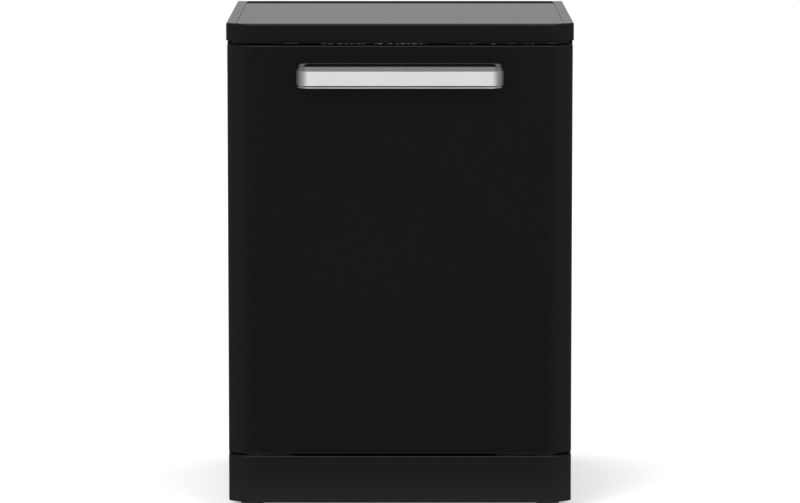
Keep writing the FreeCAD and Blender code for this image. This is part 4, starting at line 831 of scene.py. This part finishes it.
def build_caps():
    a, b = row("salt_cap")
    x, y = (a.x + b.x) / 2, (a.y + b.y) / 2
    bm = bmesh.new()
    z = 150.3 * MM
    lathe(bm, [(0, -14 * MM), (23.4 * MM, -14 * MM), (23.4 * MM, 0), (32.4 * MM, 0), (33 * MM, 0.7 * MM),
               (33 * MM, 5 * MM), (32 * MM, 6 * MM), (27 * MM, 6 * MM), (26 * MM, 4.6 * MM), (0, 4.6 * MM)],
          spot(x, y, z), 56)
    slab(bm, (x - 24 * MM, y - 4 * MM, z + 4 * MM), (x + 24 * MM, y + 4 * MM, b.z), bevel=1.5 * MM)
    piece("salt_screw_cap", bm, [GREY_PP], "salt_cap", ["salt_cap"])
    a, b = row("filter_cartridge")
    x, y = (a.x + b.x) / 2, (a.y + b.y) / 2
    bm = bmesh.new()
    z = 150.3 * MM
    drop = a.z - z
    lathe(bm, [(0, drop), (39 * MM, drop), (40 * MM, drop + 1 * MM), (40 * MM, drop + 9 * MM)], spot(x, y, z),
          56)
    lathe(bm, [(39.2 * MM, drop + 9 * MM), (39.2 * MM, -8 * MM)], spot(x, y, z), 56, material=1)
    lathe(bm, [(40 * MM, -8 * MM), (40 * MM, 0), (43.4 * MM, 0), (44 * MM, 0.6 * MM), (44 * MM, 1.5 * MM),
               (43.4 * MM, 2 * MM), (30 * MM, 2 * MM), (29 * MM, 0.8 * MM), (0, 0.8 * MM)], spot(x, y, z), 56)
    slab(bm, (x - 28 * MM, y - 3 * MM, z + 0.6 * MM), (x + 28 * MM, y + 3 * MM, b.z), bevel=1.2 * MM)
    piece("filter_insert", bm, [GREY_PP, FILTER_MESH], "filter", ["filter_cartridge"])


def build_feet():
    for node in ("front_foot_left", "front_foot_right"):
        a, b = row(node)
        x, y = (a.x + b.x) / 2, (a.y + b.y) / 2
        bm = bmesh.new()
        thread = []
        z = 17 * MM
        while z < b.z - 1 * MM:
            thread += [(4.4 * MM, z), (4.95 * MM, z + 0.75 * MM)]
            z += 1.5 * MM
        lathe(bm, [(0, 0), (19 * MM, 0), (20 * MM, 1 * MM), (20 * MM, 8 * MM), (19 * MM, 9 * MM),
                   (15.5 * MM, 9.6 * MM), (10.5 * MM, 15.6 * MM), (5 * MM, 16 * MM)]
              + thread + [(4.4 * MM, b.z), (0, b.z)],
              spot(x, y, 0), 40)
        piece(node + "_screw_foot", bm, [DARK_PP], node, [node])
    a, b = row("rear_feet")
    bm = bmesh.new()
    for side in (-1, 1):
        lathe(bm, [(0, 0), (19 * MM, 0), (20 * MM, 1 * MM), (20 * MM, 11 * MM), (19 * MM, 12 * MM),
                   (14 * MM, 12.4 * MM), (14 * MM, b.z), (0, b.z)],
              spot(side * (b.x - 20 * MM), (a.y + b.y) / 2, 0), 40)
    piece("rear_fixed_feet", bm, [DARK_PP], "cabinet", ["rear_feet"])


def build_rear_sheet():
    """Galvanised back with four shallow pressed fields that stiffen it."""
    low, high = row("rear_panel")
    face_y = high.y
    bm = bmesh.new()
    inner_y = face_y - 3.4 * MM
    slab(bm, (low.x, inner_y, low.z), high, bevel=0.8 * MM, segments=3)
    inside = [f for f in bm.faces if abs(f.calc_center_median().y - inner_y) < 1e-6]
    bmesh.ops.delete(bm, geom=inside, context="FACES")
    fields = 4
    gap = 34 * MM
    first, last = low.z + 60 * MM, high.z - 60 * MM
    step = (last - first) / fields
    levels = [(first + step * i + gap / 2, first + step * (i + 1) - gap / 2) for i in range(fields)]
    sides = (low.x + 55 * MM, high.x - 55 * MM)
    for x in sides:
        cut_all(bm, (x, 0, 0), (1, 0, 0))
    for z in [z for pair in levels for z in pair]:
        cut_all(bm, (0, 0, z), (0, 0, 1))
    bm.normal_update()
    for z0, z1 in levels:
        field = [f for f in bm.faces if f.normal.y > 0.99 and abs(f.calc_center_median().y - face_y) < 1e-5
                 and sides[0] < f.calc_center_median().x < sides[1] and z0 < f.calc_center_median().z < z1]
        bmesh.ops.inset_region(bm, faces=field, thickness=6 * MM, depth=-2.6 * MM, use_even_offset=True)
        rim = {e for f in field for e in f.edges if not all(g in field for g in e.link_faces)}
        round_edges(bm, list(rim), 2.5 * MM, 3)
        bm.normal_update()
    piece("rear_pressed_sheet", bm, [GALVANISED], "cabinet", ["rear_panel"], wall=0.7 * MM)


def build_back():
    screw_y = row("cabinet_screws")[0].y
    bm = bmesh.new()
    low, high = 60 * MM, 795 * MM
    count = round((high - low) / (150 * MM))
    for side in (-1, 1):
        for index in range(count + 1):
            z = low + (high - low) * index / count
            place = Matrix.Translation((side * 287 * MM, screw_y, z)) @ FACE_BACK
            lathe(bm, [(0, 0), (3.8 * MM, 0), (3.7 * MM, 0.8 * MM), (3.0 * MM, 1.5 * MM),
                       (1.8 * MM, 1.8 * MM), (1.5 * MM, 0.8 * MM), (0, 0.8 * MM)], place, 18)
    piece("rear_sheet_screws", bm, [ZINC_STEEL], "cabinet", ["cabinet_screws"])
    a, b = row("inlet_valve")
    x = -230 * MM
    bm = bmesh.new()
    slab(bm, (x - 22 * MM, a.y, a.z), (x + 22 * MM, a.y + 38 * MM, b.z), bevel=3 * MM)
    base = FRONT_Y + 548 * MM
    thread = []
    h = 5.2 * MM
    while h < 18 * MM:
        thread += [(12.1 * MM, h), (13.2 * MM, h + 0.9 * MM)]
        h += 1.8 * MM
    lathe(bm, [(0, -5 * MM), (9 * MM, -5 * MM), (9 * MM, 0.5 * MM), (16.4 * MM, 0.5 * MM),
               (17 * MM, 1.1 * MM), (17 * MM, 2.9 * MM), (16.4 * MM, 3.5 * MM),
               (12.1 * MM, 3.6 * MM)] + thread
          + [(12.1 * MM, 19.5 * MM), (8 * MM, 19.5 * MM), (7.6 * MM, 12 * MM), (0, 12 * MM)],
          Matrix.Translation((x, base, 90 * MM)) @ FACE_BACK, 40)
    piece("water_inlet_body", bm, [WHITE_PP], "cabinet", ["inlet_valve"])
    x = 150 * MM
    bm = bmesh.new()
    barbs = []
    for index in range(5):
        h = (7 + 4.6 * index) * MM
        barbs += [(9.2 * MM, h), (10 * MM, h + 0.6 * MM), (9.3 * MM, h + 4.4 * MM)]
    lathe(bm, [(0, -30 * MM), (7 * MM, -30 * MM), (7 * MM, 0.5 * MM), (13.4 * MM, 0.5 * MM),
               (14 * MM, 1.1 * MM), (14 * MM, 2.9 * MM), (13.4 * MM, 3.5 * MM), (9.2 * MM, 3.8 * MM)] + barbs
          + [(9.2 * MM, 30.4 * MM), (8 * MM, 31.4 * MM), (7 * MM, 31.4 * MM), (6.6 * MM, 4 * MM),
             (0, 4 * MM)],
          Matrix.Translation((x, base, 90 * MM)) @ FACE_BACK, 40)
    piece("drain_barbed_spigot", bm, [DARK_PP], "cabinet", ["drain_outlet"])


# Looks of the CAD pieces that keep their own shape.
KEPT = {
    "side_panel_left": BLACK_POWDER, "side_panel_right": BLACK_POWDER,
    # The front crossbar takes the black powder coat so that the gap under the worktop stays dark: painted
    # shade in that gap.
    "front_crossbar": BLACK_POWDER, "tub_floor": TUB_STEEL, "tub_front_frame": TUB_STEEL,
    "tub_gasket": SEAL_RUBBER,
    "feed_tube": GREY_PP, "ceiling_sprayer": GREY_PP, "upper_rails": ZINC_STEEL, "upper_slides": ZINC_STEEL,
    "base_tray": DARK_PP, "sump": DARK_PP, "circulation_pump": DARK_PP, "drain_pump": DARK_PP,
    "water_softener": WHITE_PP, "cable_gland": BLACK_PP, "hinge_brackets": ZINC_STEEL,
    "hinge_arms": ZINC_STEEL,
    "control_fascia": FASCIA_ABS, "display_window": SMOKED_WINDOW, "control_board": CIRCUIT_BOARD,
    "door_latch": ZINC_STEEL, "dispenser_body": GREY_PP, "door_screws": ZINC_STEEL,
}
for node, material in KEPT.items():
    dress(node, material)

build_door_skin()
build_handle()
build_liner()
build_fascia_marks()
build_dispenser()
build_worktop()
build_plinth()
build_tub()
build_gasket()
build_baskets()
build_shelves()
build_tines()
build_cutlery_basket()
build_arms()
build_caps()
build_feet()
build_rear_sheet()
build_back()


# ---------------------------------------------------------------- floor, light and camera

def plate(name, x0, x1, y0, y1, z, material, glossy=True):
    bm = bmesh.new()
    bmesh.ops.create_grid(bm, x_segments=1, y_segments=1, size=0.5)
    bmesh.ops.scale(bm, vec=(x1 - x0, y1 - y0, 1), verts=bm.verts)
    bmesh.ops.translate(bm, vec=((x0 + x1) / 2, (y0 + y1) / 2, z), verts=bm.verts)
    mesh = bpy.data.meshes.new(name)
    bm.to_mesh(mesh)
    bm.free()
    mesh.materials.append(material)
    obj = bpy.data.objects.new(name, mesh)
    bpy.context.collection.objects.link(obj)
    obj.visible_glossy = glossy
    return obj


# Matt paint of the studio floor: pale with no shine, and only a faint shadow shows on it.
FLOOR_PAINT = surface("pale_matt_studio_floor", "fbfbfb", "f7f7f7", rough=0.9, rough_spread=0.03, grain_mm=40,
                      bump_mm=0.0, cloud_mm=800, cloud=0.4, Specular_IOR_Level=0.0,
                      Emission_Color=srgb("ffffff"), Emission_Strength=0.15)
plate("studio_floor", -9, 9, -9, 9, -0.0005, FLOOR_PAINT, glossy=False)


def near_floor_glow():
    """What the gloss plinth mirrors: a floor that is brightest close to the plinth."""
    material = bpy.data.materials.new("near_floor_seen_in_gloss")
    material.use_nodes = True
    tree = material.node_tree
    tree.nodes.clear()
    place = add(tree, "ShaderNodeTexCoord").outputs["Object"]
    parts = add(tree, "ShaderNodeSeparateXYZ", {"Vector": place})
    near = add(tree, "ShaderNodeMapRange", {"Value": parts.outputs["Y"], "From Min": FRONT_Y - 0.55,
                                            "From Max": FRONT_Y - 0.08, "To Min": 0.0, "To Max": 0.32})
    glow = add(tree, "ShaderNodeEmission", {"Color": srgb("ffffff"), "Strength": near.outputs["Result"]})
    # It fades out ahead and to the sides, so that no edge of it shows in the door's curved sides.
    ahead = add(tree, "ShaderNodeMapRange", {"Value": parts.outputs["Y"], "From Min": FRONT_Y - 0.7,
                                             "From Max": FRONT_Y - 0.5}, interpolation_type="SMOOTHSTEP")
    across = add(tree, "ShaderNodeMath", {0: parts.outputs["X"]}, operation="ABSOLUTE")
    aside = add(tree, "ShaderNodeMapRange", {"Value": across.outputs[0], "From Min": 0.3, "From Max": 0.75,
                                             "To Min": 1.0, "To Max": 0.0}, interpolation_type="SMOOTHSTEP")
    cover = add(tree, "ShaderNodeMath", {0: ahead.outputs["Result"], 1: aside.outputs["Result"]},
                operation="MULTIPLY")
    clear = add(tree, "ShaderNodeBsdfTransparent")
    mixed = add(tree, "ShaderNodeMixShader", {0: cover.outputs[0], 1: clear.outputs[0], 2: glow.outputs[0]})
    add(tree, "ShaderNodeOutputMaterial", {"Surface": mixed.outputs[0]})
    return material


near = plate("near_floor", -1.2, 1.2, FRONT_Y - 0.8, FRONT_Y - 0.001, 0.0, near_floor_glow())
near.visible_camera = False
near.visible_diffuse = False
near.visible_shadow = False


def softbox(name, place, target, size_x, size_y, watts):
    light = bpy.data.lights.new(name, "AREA")
    light.shape = "RECTANGLE"
    light.size = size_x
    light.size_y = size_y
    light.energy = watts
    obj = bpy.data.objects.new(name, light)
    bpy.context.collection.objects.link(obj)
    way = Vector(target) - Vector(place)
    obj.location = place
    obj.rotation_euler = way.to_track_quat("-Z", "Y").to_euler()
    obj.visible_glossy = False
    return obj


softbox("soft_key", (-2.4, -4.4, 4.0), (0, 0, 0.4), 3.0, 3.0, 120)
softbox("soft_fill", (3.2, -3.8, 2.6), (0, 0, 0.4), 2.6, 2.6, 50)

world = bpy.data.worlds.new("white_studio")
bpy.context.scene.world = world
world.use_nodes = True
sky = world.node_tree
sky.nodes.clear()


def between(value, low, high, at_low, at_high):
    """Smooth step of a socket from one value to another."""
    made = add(sky, "ShaderNodeMapRange", {"Value": value, "From Min": low, "From Max": high,
                                           "To Min": at_low, "To Max": at_high},
               interpolation_type="SMOOTHSTEP")
    return made.outputs["Result"]


def times(a, b):
    return add(sky, "ShaderNodeMath", {0: a, 1: b}, operation="MULTIPLY").outputs[0]


def plus(a, b):
    return add(sky, "ShaderNodeMath", {0: a, 1: b}, operation="ADD").outputs[0]


ray = add(sky, "ShaderNodeLightPath")
way = add(sky, "ShaderNodeSeparateXYZ", {"Vector": add(sky, "ShaderNodeTexCoord").outputs["Generated"]})
side = add(sky, "ShaderNodeMath", {0: way.outputs["X"]}, operation="ABSOLUTE").outputs[0]
# Gloss sees a dim studio in front, a soft bank of light above the camera, grey sides and a pale back.
bank = times(between(way.outputs["Z"], 0.02, 0.12, 0.0, 3.5), between(way.outputs["Z"], 0.3, 0.7, 1.0, 0.05))
bank = times(bank, times(between(side, 0.35, 0.75, 1.0, 0.2),
                         between(way.outputs["Y"], -0.5, -0.2, 1.0, 0.0)))
dim = plus(between(side, 0.1, 0.9, 0.1, 0.19), bank)
rear = between(way.outputs["Y"], 0.1, 0.6, 0.0, 1.0)
gloss = plus(times(dim, between(rear, 0.0, 1.0, 1.0, 0.0)), times(rear, 0.375))
seen_by_gloss = add(sky, "ShaderNodeBackground", {"Color": srgb("ffffff"), "Strength": gloss})
even = add(sky, "ShaderNodeBackground", {"Color": srgb("ffffff"), "Strength": 1.05})
plain = add(sky, "ShaderNodeBackground", {"Color": srgb("ffffff"), "Strength": 1.0})
lit = add(sky, "ShaderNodeMixShader", {0: ray.outputs["Is Glossy Ray"], 1: even.outputs[0],
                                       2: seen_by_gloss.outputs[0]})
whole = add(sky, "ShaderNodeMixShader", {0: ray.outputs["Is Camera Ray"], 1: lit.outputs[0],
                                         2: plain.outputs[0]})
add(sky, "ShaderNodeOutputWorld", {"Surface": whole.outputs[0]})

CAMERA_DISTANCE = 7.741
CAMERA_HEIGHT = 1.394
camera = bpy.data.cameras.new("studio_camera")
camera.lens = 203.94
camera.sensor_width = 36.0
camera.clip_end = 50
eye = bpy.data.objects.new("studio_camera", camera)
bpy.context.collection.objects.link(eye)
eye.location = (0, FRONT_Y - CAMERA_DISTANCE, CAMERA_HEIGHT)
eye.rotation_euler = (math.radians(90 - 6.9295), 0, 0)
bpy.context.scene.camera = eye
bpy.context.scene.view_settings.view_transform = "Standard"
